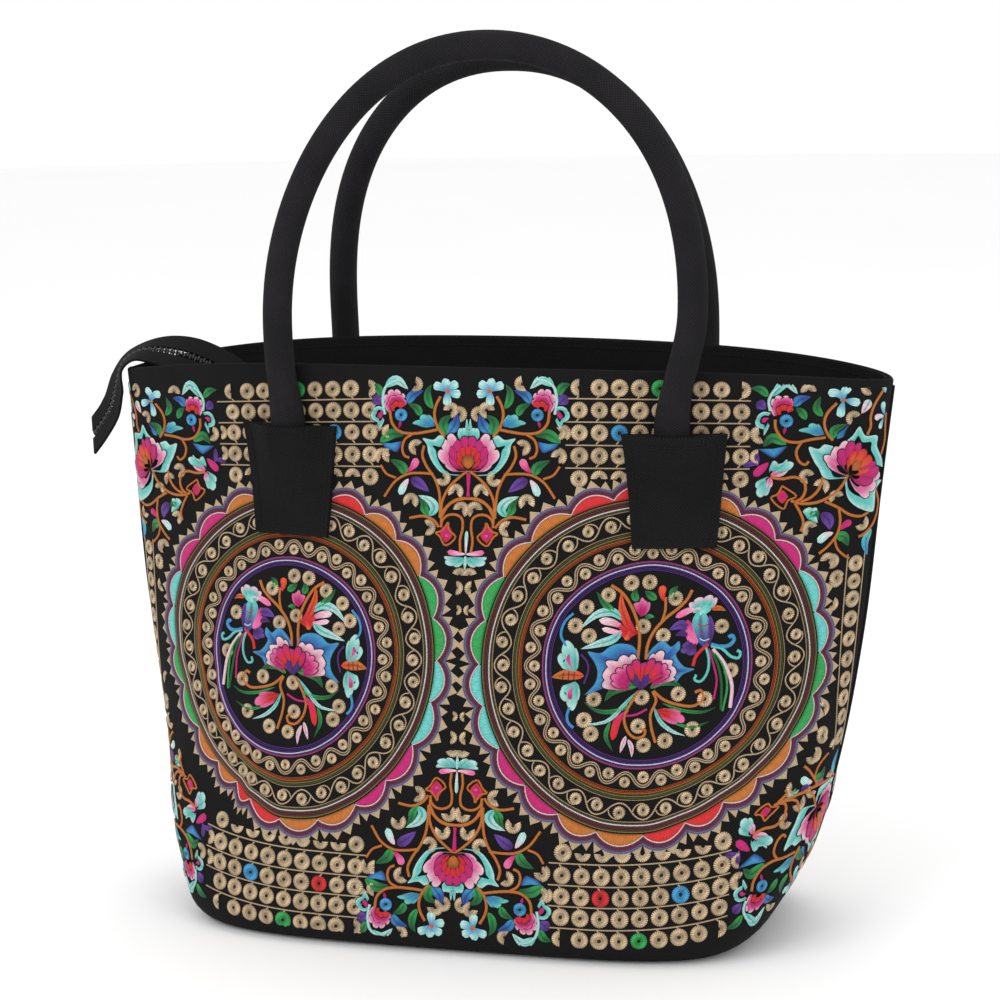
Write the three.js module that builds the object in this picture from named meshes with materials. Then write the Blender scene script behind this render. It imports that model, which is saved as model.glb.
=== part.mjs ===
// Shopper bag in black canvas: two soft panels on a stiff oblong base, a turned-in
// facing round the mouth, two rolled cloth handles under four trapezoid tabs, and a
// zip that is closed at its left end only, where its tail climbs over the rim.
// Millimetres, +Z up, front face towards -Y, origin on the underside of the base.

import * as THREE from 'three';

// Body
const mouthWidth = 410;         // seam to seam at the rim
const bodyDepth = 168;          // front to back at the base
const bodyHeight = 298;         // floor to rim at the side of the front face
const wallThickness = 2.2;      // canvas with its embroidery backing
const baseThickness = 2.2;
const baseEdgeRadius = 13;      // turn of the wall into the base
const frontRimRise = 2.5;       // the rim stands higher in the middle of a face
const backRimRise = 4.2;
const leftRimDroop = 9;         // and lower at the side seams
const rightRimDroop = 6;

// Facing, the hem turned in round the mouth
const facingDepth = 32;
const facingThickness = 1.2;

// Handles and their tabs
const rollRadius = 7.5;
const rollEndWidth = 18.6;      // the roll is pressed flat where a tab covers it
const rollEndDepth = 10;
const handleSpan = 214;         // between the legs of the front handle
const handleRise = 162;         // rim to the middle of the roll at the top
const tabTopWidth = 52;
const tabBottomWidth = 41;
const tabHeight = 58;
const tabDrop = 29;             // rim to the top edge of a tab
const tabCloth = 2.6;
const tabHemHeight = 1.2;       // welt round the edge of a tab

// Zip
const zipTapeWidth = 11.2;
const zipTapeThickness = 1.4;
const zipChainWidth = 5;
const zipChainThickness = 2.4;
const zipTeethWidth = 2.4;
const zipDrop = 30;             // rim to the middle of the open tapes
const zipRightStop = 158;       // where the open tapes end, right of the middle
const zipOpening = 45;          // run in which the open tapes reach the walls
const sliderLength = 13;
const sliderWidth = 9;
const sliderThickness = 2.6;
const pullLength = 24;
const pullWidth = 5;

// Clearances
const seamGap = 0.3;
const sewnGap = 0.3;
const zipClearance = 0.5;
const rollClearance = 0.5;

// Fineness of the lofts
const panelColumns = 40;
const rollSides = 12;
const outlineSteps = 220;

// Plan sections of the body, bottom to top. Reaches are shares of mouthWidth and
// bodyDepth; bow is how full the long sides are, pinch how pointed the seams are.
const bodySections = [
  { height: 0.00, left: 0.390, right: 0.350, front: 0.500, back: 0.500, bow: 0.50, pinch: 0.46 },
  { height: 0.12, left: 0.420, right: 0.405, front: 0.482, back: 0.482, bow: 0.58, pinch: 0.56 },
  { height: 0.30, left: 0.444, right: 0.444, front: 0.440, back: 0.440, bow: 0.85, pinch: 0.82 },
  { height: 0.55, left: 0.473, right: 0.476, front: 0.393, back: 0.393, bow: 1.00, pinch: 1.22 },
  { height: 0.80, left: 0.485, right: 0.495, front: 0.321, back: 0.321, bow: 1.00, pinch: 1.28 },
  { height: 1.00, left: 0.490, right: 0.510, front: 0.327, back: 0.327, bow: 0.95, pinch: 0.98 },
];

// Heights of the wall's rows, as shares of the local height. The rows of the facing go
// on up to the rim, and the wall has them too, so that the facing lies flat on it.
const facingRows = [1, 0.5, 0].map((down) => 1 - (down * facingDepth) / bodyHeight);
const wallRows = [0.08, 0.12, 0.18, 0.25, 0.33, 0.42, 0.51, 0.60, 0.69, 0.78, 0.84, ...facingRows];

// The two handles. Spans, rises and shifts are shares of handleSpan and handleRise;
// lean is how far the top of the arch falls towards the middle, of bodyDepth.
const handles = [
  { face: 'front', span: 1.000, tabSpan: 0.935, rise: 1.000, spring: 0.20,
    shift: 0.045, tabShift: 0.028, lean: 0.165, roundness: 2.06 },
  { face: 'back', span: 0.935, tabSpan: 0.930, rise: 0.950, spring: 0.10,
    shift: 0.014, tabShift: 0.014, lean: 0.150, roundness: 2.18 },
];

// The closed end of the zip, from the slider out over the left of the rim. Along is a
// share of the left reach of the mouth and above a share of bodyHeight over the rim's
// low end; lean and up tilt the tape's width out of the front-to-back direction.
const zipTail = [
  { along: 0.500, above: -0.0926, lean: 0.00, up: 0.00 },
  { along: 0.620, above: -0.0490, lean: 0.00, up: 0.35 },
  { along: 0.731, above: -0.0050, lean: 0.00, up: 0.80 },
  { along: 0.821, above: 0.0215, lean: 0.00, up: 0.70 },
  { along: 0.905, above: 0.0330, lean: 0.00, up: 0.45 },
  { along: 0.970, above: 0.0310, lean: -0.10, up: 0.22 },
  { along: 1.020, above: 0.0085, lean: -0.30, up: 0.20 },
  { along: 1.040, above: -0.0300, lean: -0.65, up: 0.25 },
  { along: 1.058, above: -0.0700, lean: -0.75, up: 0.28 },
  { along: 1.083, above: -0.0985, lean: -0.60, up: 0.55 },
  { along: 1.115, above: -0.1260, lean: -0.45, up: 0.80 },
];

// Small helpers

const vector = (x, y, z) => new THREE.Vector3(x, y, z);

const smoothstep = (t) => {
  const s = Math.min(1, Math.max(0, t));
  return s * s * (3 - 2 * s);
};

const sideOf = (face) => (face === 'front' ? -1 : 1);

// A smooth curve through one column of a table whose rows are keyed by another column
function between(table, key, column, at) {
  let i = 0;
  while (i < table.length - 2 && at > table[i + 1][key]) i += 1;
  const slope = (a, b) => (table[b][column] - table[a][column]) / (table[b][key] - table[a][key]);
  const last = table.length - 1;
  const here = slope(i, i + 1);
  const before = i > 0 ? (slope(i - 1, i) + here) / 2 : here;
  const after = i + 1 < last ? (here + slope(i + 1, i + 2)) / 2 : here;
  const span = table[i + 1][key] - table[i][key];
  const t = Math.min(1, Math.max(0, (at - table[i][key]) / span));
  const t2 = t * t;
  const t3 = t2 * t;
  return table[i][column] * (2 * t3 - 3 * t2 + 1) + before * span * (t3 - 2 * t2 + t)
    + table[i + 1][column] * (3 * t2 - 2 * t3) + after * span * (t3 - t2);
}

// One closed body through a row of like closed loops. The two ends are capped by
// strips between the first half of the loop and the second half, read backwards, and
// the diagonals of the second half are turned, so that both faces of a shell match.
function loft(loops) {
  const count = loops[0].length;
  const positions = loops.flat().flatMap((p) => [p.x, p.y, p.z]);
  const triangles = [];
  const quad = (a, b, c, d) => triangles.push(a, b, c, a, c, d);
  for (let k = 0; k + 1 < loops.length; k += 1) {
    for (let i = 0; i < count; i += 1) {
      const j = (i + 1) % count;
      const corners = [k * count + i, k * count + j, (k + 1) * count + j, (k + 1) * count + i];
      if (i >= count / 2) corners.push(corners.shift());
      quad(...corners);
    }
  }
  const cap = (base, flip) => {
    for (let i = 0; i + 1 < count / 2; i += 1) {
      const corners = [i, count - 1 - i, count - 2 - i, i + 1].map((n) => base + n);
      if (flip) corners.reverse();
      quad(...corners);
    }
  };
  cap(0, false);
  cap((loops.length - 1) * count, true);
  const geometry = new THREE.BufferGeometry();
  geometry.setAttribute('position', new THREE.Float32BufferAttribute(positions, 3));
  geometry.setIndex(volumeOf(positions, triangles) > 0 ? triangles : triangles.slice().reverse());
  geometry.computeVertexNormals();
  return geometry;
}

function volumeOf(positions, triangles) {
  const corner = (n) => vector(positions[3 * n], positions[3 * n + 1], positions[3 * n + 2]);
  let sum = 0;
  for (let i = 0; i < triangles.length; i += 3) {
    const [a, b, c] = [0, 1, 2].map((n) => corner(triangles[i + n]));
    sum += a.dot(b.cross(c));
  }
  return sum / 6;
}

// Form of the body

function bodyAt(share) {
  const read = (column) => between(bodySections, 'height', column, share);
  return {
    left: read('left') * mouthWidth,
    right: read('right') * mouthWidth,
    front: read('front') * bodyDepth,
    back: read('back') * bodyDepth,
    bow: read('bow'),
    pinch: read('pinch'),
  };
}

const mouthLeft = bodyAt(1).left;
const mouthRight = bodyAt(1).right;

// Height of the rim above the floor at a place across a face
function rimHeight(face, x) {
  const across = x < 0 ? x / mouthLeft : x / mouthRight;
  const rise = face === 'front' ? frontRimRise : backRimRise;
  const droop = x < 0 ? leftRimDroop : rightRimDroop;
  const out = Math.min(1, Math.abs(across));
  return bodyHeight + rise * (1 - out ** 2) - droop * out ** 4;
}

const rimLeftEnd = bodyHeight - leftRimDroop;

// Distance of a face from the middle plane at a place across it
function faceDepth(face, x, z, inset) {
  const section = bodyAt(z / rimHeight(face, x));
  const reach = (x < 0 ? section.left : section.right) - inset;
  const out = Math.min(1, Math.abs(x) / reach) ** (1 / section.bow);
  return (section[face] - inset) * Math.sqrt(1 - out * out) ** section.pinch;
}

// Half a plan section from the left seam to the right one. Its columns part the outer
// face into equal steps, and every layer under it keeps the same columns.
function halfSection(face, share, inset) {
  const section = bodyAt(share);
  const pointAt = (angle, depthUnder) => {
    const reach = (angle < 0 ? section.left : section.right) - depthUnder;
    const depth = (section[face] - depthUnder) * Math.abs(Math.cos(angle)) ** section.pinch;
    const x = Math.sign(angle) * reach * Math.abs(Math.sin(angle)) ** section.bow;
    return vector(x, sideOf(face) * Math.max(seamGap / 2, depth), 0);
  };
  return evenAngles((angle) => pointAt(angle, 0)).map((angle) => pointAt(angle, inset));
}

// Angles from one seam to the other that part a curve into equal steps
function evenAngles(curve) {
  const angleOf = (i) => Math.PI * (i / outlineSteps - 0.5);
  const lengths = [0];
  for (let i = 1; i <= outlineSteps; i += 1) {
    lengths.push(lengths[i - 1] + curve(angleOf(i)).distanceTo(curve(angleOf(i - 1))));
  }
  const angles = [];
  let k = 0;
  for (let column = 0; column <= panelColumns; column += 1) {
    const at = (lengths.at(-1) * column) / panelColumns;
    while (k < outlineSteps - 1 && lengths[k + 1] < at) k += 1;
    angles.push(angleOf(k + (at - lengths[k]) / (lengths[k + 1] - lengths[k])));
  }
  return angles;
}

// A row of the wall at a share of the local height, at a depth under its outer face
function wallRow(face, share, inset) {
  return halfSection(face, share, inset).map((p) => vector(p.x, p.y, share * rimHeight(face, p.x)));
}

// A row of the turn at the base; the angle runs from the base edge up to the wall
function turnRow(face, angle, inset) {
  const radius = baseEdgeRadius - inset;
  const z = baseEdgeRadius - radius * Math.cos(angle);
  const drawnIn = baseEdgeRadius - radius * Math.sin(angle);
  return halfSection(face, z / bodyHeight, drawnIn).map((p) => vector(p.x, p.y, z));
}

// A point on the outer face, at an offset outwards, and the way out there
function onFace(face, x, z, offset) {
  const step = 1;
  const depth = (dx, dz) => sideOf(face) * faceDepth(face, x + dx, z + dz, 0);
  const alongX = vector(2 * step, depth(step, 0) - depth(-step, 0), 0);
  const alongZ = vector(0, depth(0, step) - depth(0, -step), 2 * step);
  const out = alongX.cross(alongZ).normalize();
  if (out.y * sideOf(face) < 0) out.negate();
  return vector(x, depth(0, 0), z).addScaledVector(out, offset);
}

// Pieces

function panel(face) {
  const turns = [0, 1, 2, 3].map((n) => (n * Math.PI) / 6);
  const rowsAt = (inset) => [
    ...turns.map((angle) => turnRow(face, angle, inset)),
    ...wallRows.map((share) => wallRow(face, share, inset)),
  ];
  return crosswise(rowsAt(0), rowsAt(wallThickness));
}

// A shell between outer and inner rows, lofted from seam to seam
function crosswise(outer, inner) {
  const loops = outer[0].map((_, column) => [
    ...outer.map((row) => row[column]),
    ...inner.map((row) => row[column]).reverse(),
  ]);
  return loft(loops);
}

function basePanel() {
  const ring = (z) => {
    const inset = baseEdgeRadius + sewnGap;
    const half = (face) => halfSection(face, 0, inset).map((p) => vector(p.x, p.y, z));
    return [...half('front'), ...half('back').reverse()];
  };
  return loft([ring(0), ring(baseThickness)]);
}

function facing(face) {
  const rowsAt = (inset) => facingRows.map((share) => wallRow(face, share, inset));
  const outerInset = wallThickness + sewnGap;
  return crosswise(rowsAt(outerInset), rowsAt(outerInset + facingThickness));
}

// Places that one handle takes from the named sizes
function handleSizes(row) {
  const tabTop = bodyHeight - tabDrop;
  return {
    face: row.face,
    half: (row.span * handleSpan) / 2,
    tabHalf: (row.tabSpan * handleSpan) / 2,
    centre: row.shift * handleSpan,
    tabCentre: row.tabShift * handleSpan,
    tabTop,
    spring: bodyHeight + row.spring * handleRise,
    top: bodyHeight + row.rise * handleRise,
    lean: row.lean * bodyDepth,
    roundness: row.roundness,
  };
}

// The middle line of a roll, from the left tab over the arch to the right tab
function handleLine(size) {
  const { face, half, tabHalf, centre, tabCentre, tabTop, spring, top, lean } = size;
  const side = sideOf(face);
  const legSteps = 6;
  const archSteps = 22;
  const legPoint = (end, share) => {
    const z = tabTop + sewnGap + (spring - tabTop) * share;
    const ease = smoothstep(share);
    const x = THREE.MathUtils.lerp(tabCentre, centre, ease)
      + end * THREE.MathUtils.lerp(tabHalf, half, ease);
    return { x, z };
  };
  const arch = (angle) => ({
    x: centre - half * Math.sign(Math.cos(angle)) * Math.abs(Math.cos(angle)) ** (2 / size.roundness),
    z: spring + (top - spring) * Math.abs(Math.sin(angle)) ** (2 / size.roundness),
  });
  const flat = [];
  for (let i = 0; i < legSteps; i += 1) flat.push(legPoint(-1, i / legSteps));
  for (let i = 0; i <= archSteps; i += 1) flat.push(arch((Math.PI * i) / archSteps));
  for (let i = legSteps - 1; i >= 0; i -= 1) flat.push(legPoint(1, i / legSteps));
  return flat.map(({ x, z }) => {
    const pressed = 1 - smoothstep((z - tabTop) / tabDrop);
    const wide = THREE.MathUtils.lerp(rollRadius, rollEndWidth / 2, pressed);
    const deep = THREE.MathUtils.lerp(rollRadius, rollEndDepth / 2, pressed);
    const seat = faceDepth(face, x, Math.min(z, bodyHeight), 0) + rollClearance + deep;
    const climb = smoothstep((z - bodyHeight) / (top - bodyHeight));
    return { centre: vector(x, side * (seat - lean * climb), z), wide, deep };
  });
}

function handle(size) {
  const line = handleLine(size);
  const loops = line.map(({ centre, wide, deep }, i) => {
    const before = line[Math.max(0, i - 1)].centre;
    const after = line[Math.min(line.length - 1, i + 1)].centre;
    const along = i === 0 || i === line.length - 1
      ? vector(0, 0, i === 0 ? 1 : -1)
      : after.clone().sub(before).normalize();
    const across = along.clone().cross(vector(0, 1, 0)).normalize();
    const through = across.clone().cross(along);
    return Array.from({ length: rollSides }, (_, n) => {
      const angle = (2 * Math.PI * n) / rollSides;
      return centre.clone()
        .addScaledVector(across, wide * Math.cos(angle))
        .addScaledVector(through, deep * Math.sin(angle));
    });
  });
  return loft(loops);
}

// A tab domes over the pressed end of the roll and thins to the cloth at its foot
function tab(size, end) {
  const columns = 10;
  const rows = 8;
  const middle = size.tabCentre + end * size.tabHalf;
  const dome = rollEndDepth + rollClearance;
  const thickness = (across, down) => {
    const cover = 1 - smoothstep((Math.abs(across) * tabTopWidth - rollEndWidth * 0.35) / rollEndWidth);
    const fall = 1 - smoothstep(down * 1.25);
    const welt = tabHemHeight * Math.max(0, Math.abs(across) * 2 - 0.82) / 0.18;
    return tabCloth + dome * cover * fall + welt * (1 - down * 0.5);
  };
  const loops = [];
  for (let i = 0; i <= columns; i += 1) {
    const across = i / columns - 0.5;
    const outer = [];
    const inner = [];
    for (let j = 0; j <= rows; j += 1) {
      const down = j / rows;
      const width = THREE.MathUtils.lerp(tabTopWidth, tabBottomWidth, down ** 0.8);
      const x = middle + across * width;
      const z = size.tabTop - down * tabHeight;
      outer.push(onFace(size.face, x, z, sewnGap + thickness(across, down)));
      inner.push(onFace(size.face, x, z, sewnGap));
    }
    outer.forEach((p, j) => { if (j === 0) p.z = size.tabTop; });
    inner.forEach((p, j) => { if (j === 0) p.z = size.tabTop; });
    loops.push([...outer, ...inner.reverse()]);
  }
  return loft(loops);
}

// Zip

// Middle of the closed chain with the direction of the tape's width, towards the back
function zipRow(row) {
  return {
    centre: vector(-mouthLeft * row.along, 0, rimLeftEnd + row.above * bodyHeight),
    across: vector(row.lean, 1, row.up).normalize(),
  };
}

function zipTailLine() {
  const rows = zipTail.map(zipRow);
  const centres = new THREE.CatmullRomCurve3(rows.map((row) => row.centre));
  const acrosses = new THREE.CatmullRomCurve3(rows.map((row) => row.across));
  const steps = 26;
  return Array.from({ length: steps + 1 }, (_, i) => ({
    centre: centres.getPoint(i / steps),
    across: acrosses.getPoint(i / steps).normalize(),
    along: centres.getTangent(i / steps),
  }));
}

// The open tape of one face, from the slider to its right stop
function zipOpenLine(face) {
  const side = sideOf(face);
  const start = zipRow(zipTail[0]).centre;
  const steps = 26;
  const levelZ = bodyHeight - zipDrop;
  const inset = wallThickness + sewnGap + facingThickness + zipClearance + zipTapeThickness / 2;
  const line = [];
  for (let i = 0; i <= steps; i += 1) {
    const x = start.x + (zipRightStop - start.x) * (i / steps);
    const leave = smoothstep((x - start.x) / zipOpening);
    const nearY = zipChainWidth / 2 + sewnGap + zipTapeWidth / 2;
    const wallY = Math.min(...[-0.5, 0, 0.5].map((height) => (
      faceDepth(face, x, levelZ + height * zipTapeWidth, inset)
    )));
    const y = side * THREE.MathUtils.lerp(nearY, wallY, leave);
    const z = THREE.MathUtils.lerp(start.z, levelZ, leave);
    const across = vector(0, side * (1 - leave), leave).normalize();
    line.push({ centre: vector(x, y, z), across });
  }
  return line.map((row, i) => {
    const before = line[Math.max(0, i - 1)].centre;
    const after = line[Math.min(steps, i + 1)].centre;
    return { ...row, along: after.clone().sub(before).normalize() };
  });
}

// A flat strip along a line, between two offsets across it
function strip(line, from, to, thickness) {
  return loft(line.map(({ centre, across, along }) => {
    const normal = along.clone().cross(across).normalize();
    const corner = (offset, lift) => centre.clone()
      .addScaledVector(across, offset)
      .addScaledVector(normal, lift * thickness);
    return [corner(from, -0.5), corner(to, -0.5), corner(to, 0.5), corner(from, 0.5)];
  }));
}

// One tape runs the whole way: along its wall, in to the slider and out to the tail
function zipTape(face) {
  const side = sideOf(face);
  const offset = zipChainWidth / 2 + sewnGap + zipTapeWidth / 2;
  const tail = zipTailLine().slice(1).map(({ centre, across, along }) => ({
    centre: centre.clone().addScaledVector(across, side * offset),
    across: across.clone().multiplyScalar(side),
    along,
  })).reverse();
  tail.forEach((row) => row.along.negate());
  return strip([...tail, ...zipOpenLine(face)], -zipTapeWidth / 2, zipTapeWidth / 2, zipTapeThickness);
}

function zipTeeth(face) {
  const edge = -zipTapeWidth / 2 - sewnGap;
  const line = zipOpenLine(face).filter((row) => row.across.z > 0.8);
  return strip(line, edge - zipTeethWidth, edge, zipTeethWidth);
}

function zipChain() {
  return strip(zipTailLine(), -zipChainWidth / 2, zipChainWidth / 2, zipChainThickness);
}

// The slider's upper plate and its pull, one plain piece lying on the chain
function zipSlider() {
  const shape = new THREE.Shape();
  shape.moveTo(-sliderLength / 2, -sliderWidth / 3);
  shape.lineTo(sliderLength / 2, -sliderWidth / 2);
  shape.lineTo(sliderLength / 2 + pullLength / 8, -pullWidth / 2);
  shape.lineTo(sliderLength / 2 + pullLength, -pullWidth / 2);
  shape.absarc(sliderLength / 2 + pullLength, 0, pullWidth / 2, -Math.PI / 2, Math.PI / 2);
  shape.lineTo(sliderLength / 2 + pullLength / 8, pullWidth / 2);
  shape.lineTo(sliderLength / 2, sliderWidth / 2);
  shape.lineTo(-sliderLength / 2, sliderWidth / 3);
  shape.closePath();
  return new THREE.ExtrudeGeometry(shape, {
    depth: sliderThickness, bevelEnabled: false, curveSegments: 4,
  });
}

function placeSlider(mesh) {
  const start = zipTailLine()[0];
  const normal = start.along.clone().cross(start.across).normalize();
  if (normal.z < 0) normal.negate();
  const along = start.along.clone().negate();
  const across = normal.clone().cross(along).normalize();
  mesh.quaternion.setFromRotationMatrix(new THREE.Matrix4().makeBasis(along, across, normal));
  mesh.position.copy(start.centre)
    .addScaledVector(normal, zipChainThickness / 2 + sewnGap)
    .addScaledVector(along, -sliderLength / 2);
}

// Assembly

const canvasBlack = { color: 0x17161a, roughness: 0.85, metalness: 0 };
const finishes = {
  canvas: canvasBlack,
  facing: { ...canvasBlack, color: 0x141317 },
  roll: { ...canvasBlack, color: 0x19181b },
  tape: { color: 0x18181a, roughness: 0.8, metalness: 0 },
  teeth: { color: 0x101012, roughness: 0.4, metalness: 0.1 },
  metal: { color: 0x2a2a2c, roughness: 0.35, metalness: 0.9 },
};

const bag = new THREE.Group();

function add(name, geometry, finish) {
  const mesh = new THREE.Mesh(geometry, new THREE.MeshStandardMaterial(finishes[finish]));
  mesh.name = name;
  bag.add(mesh);
  return mesh;
}

add('base_panel', basePanel(), 'canvas');
for (const face of ['front', 'back']) {
  add(`${face}_panel`, panel(face), 'canvas');
  add(`${face}_facing`, facing(face), 'facing');
  add(`zip_tape_${face}`, zipTape(face), 'tape');
  add(`zip_teeth_${face}`, zipTeeth(face), 'teeth');
}
for (const size of handles.map(handleSizes)) {
  add(`${size.face}_handle`, handle(size), 'roll');
  add(`${size.face}_left_tab`, tab(size, -1), 'canvas');
  add(`${size.face}_right_tab`, tab(size, 1), 'canvas');
}
add('zip_chain', zipChain(), 'teeth');
placeSlider(add('zip_slider', zipSlider(), 'metal'));

export default bag;
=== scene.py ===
"""Looks, light and camera for a black canvas shopper bag covered in folk embroidery."""

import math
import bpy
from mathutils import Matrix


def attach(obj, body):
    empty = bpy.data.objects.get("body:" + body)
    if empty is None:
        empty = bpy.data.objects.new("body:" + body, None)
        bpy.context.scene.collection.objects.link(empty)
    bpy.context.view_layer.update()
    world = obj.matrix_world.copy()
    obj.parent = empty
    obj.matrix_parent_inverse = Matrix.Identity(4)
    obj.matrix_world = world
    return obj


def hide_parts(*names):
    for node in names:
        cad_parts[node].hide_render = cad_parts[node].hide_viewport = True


bl_info = {
    "name": "Embroidered Shopper Bag",
    "version": (1, 0, 0),
    "blender": (4, 5, 0),
    "location": "View3D > Sidebar > Shopper Bag",
    "description": "Dresses a canvas shopper bag with cloth, embroidery, rolled handles and a zip",
    "category": "Add Mesh",
}

import bpy
import numpy as np
from mathutils import Matrix

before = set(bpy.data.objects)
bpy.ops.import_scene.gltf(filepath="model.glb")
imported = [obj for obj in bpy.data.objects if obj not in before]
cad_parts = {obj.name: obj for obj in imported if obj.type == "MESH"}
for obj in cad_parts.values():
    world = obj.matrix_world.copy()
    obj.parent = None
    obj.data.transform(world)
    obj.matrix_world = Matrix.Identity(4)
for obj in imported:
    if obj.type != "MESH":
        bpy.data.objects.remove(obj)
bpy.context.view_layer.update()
MM = 0.001

# Form of the body in millimetres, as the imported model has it
MOUTH_WIDTH = 410.0
BODY_DEPTH = 168.0
BODY_HEIGHT = 298.0
WALL_THICKNESS = 2.2
BASE_THICKNESS = 2.2
BASE_EDGE_RADIUS = 13.0
LEFT_RIM_DROOP = 9.0
RIGHT_RIM_DROOP = 6.0
FACING_DEPTH = 32.0
FACING_THICKNESS = 1.2
SEAM_GAP = 0.3
SEWN_GAP = 0.3
SIDE = {"front": -1.0, "back": 1.0}
RIM_RISE = {"front": 2.5, "back": 4.2}

# Plan sections, bottom to top: reaches are shares of the mouth's width and of the depth
SECTION_HEIGHTS = (0.00, 0.12, 0.30, 0.55, 0.80, 1.00)
SECTIONS = {
    "left": (0.390, 0.420, 0.444, 0.473, 0.485, 0.490),
    "right": (0.350, 0.405, 0.444, 0.476, 0.495, 0.510),
    "depth": (0.500, 0.482, 0.440, 0.393, 0.321, 0.327),
    "bow": (0.50, 0.58, 0.85, 1.00, 1.00, 0.95),
    "pinch": (0.46, 0.56, 0.82, 1.22, 1.28, 0.98),
}

# Handles and tabs
ROLL_RADIUS = 7.5
ROLL_END_WIDTH = 18.6
ROLL_END_DEPTH = 10.0
ROLL_CLEARANCE = 0.5
HANDLE_SPAN = 214.0
HANDLE_RISE = 162.0
TAB_TOP_WIDTH = 52.0
TAB_BOTTOM_WIDTH = 41.0
TAB_HEIGHT = 58.0
TAB_DROP = 29.0
TAB_CLOTH = 2.6
TAB_HEM_HEIGHT = 1.2
HANDLES = {
    "front": {"span": 1.000, "tab_span": 0.935, "rise": 1.00, "spring": 0.20,
              "shift": 0.045, "tab_shift": 0.028, "lean": 0.165, "roundness": 2.06},
    "back": {"span": 0.935, "tab_span": 0.930, "rise": 0.95, "spring": 0.10,
             "shift": 0.014, "tab_shift": 0.014, "lean": 0.150, "roundness": 2.18},
}

# Zip
ZIP_TAPE_WIDTH = 11.2
ZIP_TAPE_THICKNESS = 1.4
ZIP_CHAIN_WIDTH = 5.0
ZIP_CHAIN_THICKNESS = 2.4
ZIP_TEETH_WIDTH = 2.4
ZIP_CLEARANCE = 0.5
ZIP_DROP = 30.0
ZIP_RIGHT_STOP = 158.0
ZIP_OPENING = 45.0

# Closed end of the zip over the left of the rim: along and above are shares of the
# left reach and of the height; lean and up tilt the tape's width
ZIP_TAIL = np.array([
    (0.500, -0.0926, 0.00, 0.00),
    (0.620, -0.0490, 0.00, 0.35),
    (0.731, -0.0050, 0.00, 0.80),
    (0.821, 0.0215, 0.00, 0.70),
    (0.905, 0.0330, 0.00, 0.45),
    (0.970, 0.0310, -0.10, 0.22),
    (1.020, 0.0085, -0.30, 0.20),
    (1.040, -0.0300, -0.65, 0.25),
    (1.058, -0.0700, -0.75, 0.28),
    (1.083, -0.0985, -0.60, 0.55),
    (1.115, -0.1260, -0.45, 0.80),
])


# Small helpers

def smoothstep(t):
    s = np.clip(t, 0.0, 1.0)
    return s * s * (3 - 2 * s)


def lerp(a, b, t):
    return a + (b - a) * t


def unit(vectors):
    length = np.linalg.norm(vectors, axis=-1, keepdims=True)
    return vectors / np.maximum(length, 1e-9)


def steady_curve(keys, values, at):
    """A smooth curve through values at their keys."""
    keys = np.asarray(keys, float)
    values = np.asarray(values, float)
    steps = np.diff(values) / np.diff(keys)
    slopes = np.concatenate([steps[:1], (steps[1:] + steps[:-1]) / 2, steps[-1:]])
    i = np.clip(np.searchsorted(keys, at) - 1, 0, len(keys) - 2)
    span = keys[i + 1] - keys[i]
    t = np.clip((at - keys[i]) / span, 0.0, 1.0)
    start = values[i] * (2 * t**3 - 3 * t**2 + 1) + slopes[i] * span * (t**3 - 2 * t**2 + t)
    end = values[i + 1] * (3 * t**2 - 2 * t**3) + slopes[i + 1] * span * (t**3 - t**2)
    return start + end


# Form of the body

def section(share, column):
    scale = BODY_DEPTH if column == "depth" else MOUTH_WIDTH
    if column in ("bow", "pinch"):
        scale = 1.0
    return steady_curve(SECTION_HEIGHTS, SECTIONS[column], share) * scale


MOUTH_LEFT = float(section(1.0, "left"))
MOUTH_RIGHT = float(section(1.0, "right"))


def rim_height(face, x):
    """Height of the rim above the floor at a place across a face."""
    out = np.minimum(1, np.abs(x) / np.where(x < 0, MOUTH_LEFT, MOUTH_RIGHT))
    droop = np.where(x < 0, LEFT_RIM_DROOP, RIGHT_RIM_DROOP)
    return BODY_HEIGHT + RIM_RISE[face] * (1 - out**2) - droop * out**4


def plan_point(face, share, angle, inset=0.0):
    """A point of a plan section; the angle runs from the left seam to the right one."""
    reach = np.where(angle < 0, section(share, "left"), section(share, "right")) - inset
    depth = (section(share, "depth") - inset) * np.abs(np.cos(angle)) ** section(share, "pinch")
    x = np.sign(angle) * reach * np.abs(np.sin(angle)) ** section(share, "bow")
    return x, SIDE[face] * np.maximum(SEAM_GAP / 2, depth)


def face_depth(face, x, z, inset=0.0):
    """Distance of a face from the middle plane at a place across it."""
    share = z / rim_height(face, x)
    reach = np.where(x < 0, section(share, "left"), section(share, "right")) - inset
    out = np.minimum(1, np.abs(x) / reach) ** (1 / section(share, "bow"))
    return (section(share, "depth") - inset) * np.sqrt(1 - out**2) ** section(share, "pinch")


def base_inset(z):
    """How far the wall has turned in towards the base at a height."""
    low = np.clip(1 - z / BASE_EDGE_RADIUS, 0, 1)
    return BASE_EDGE_RADIUS * (1 - np.sqrt(1 - low**2))


def folds(face, s, z):
    """Soft hollows and swells of the standing cloth, which the embroidery follows."""
    sag = -1.3 * np.exp(-((np.abs(s) - 150) / 26) ** 2 - ((z - 250) / 40) ** 2)
    swell = 1.1 * np.exp(-((s - 12) / 90) ** 2 - ((z - 120) / 80) ** 2)
    rim_wave = 0.5 * np.sin(s / 23.0 + SIDE[face]) * smoothstep((z - 250) / 45)
    crease = -0.9 * np.exp(-((z - 24 - 0.04 * np.abs(s)) / 7) ** 2) * smoothstep((np.abs(s) - 60) / 70)
    still = smoothstep((z - 6) / 14) * (1 - 0.75 * smoothstep((z - 288) / 8))
    return (sag + swell + rim_wave + crease) * still


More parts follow.
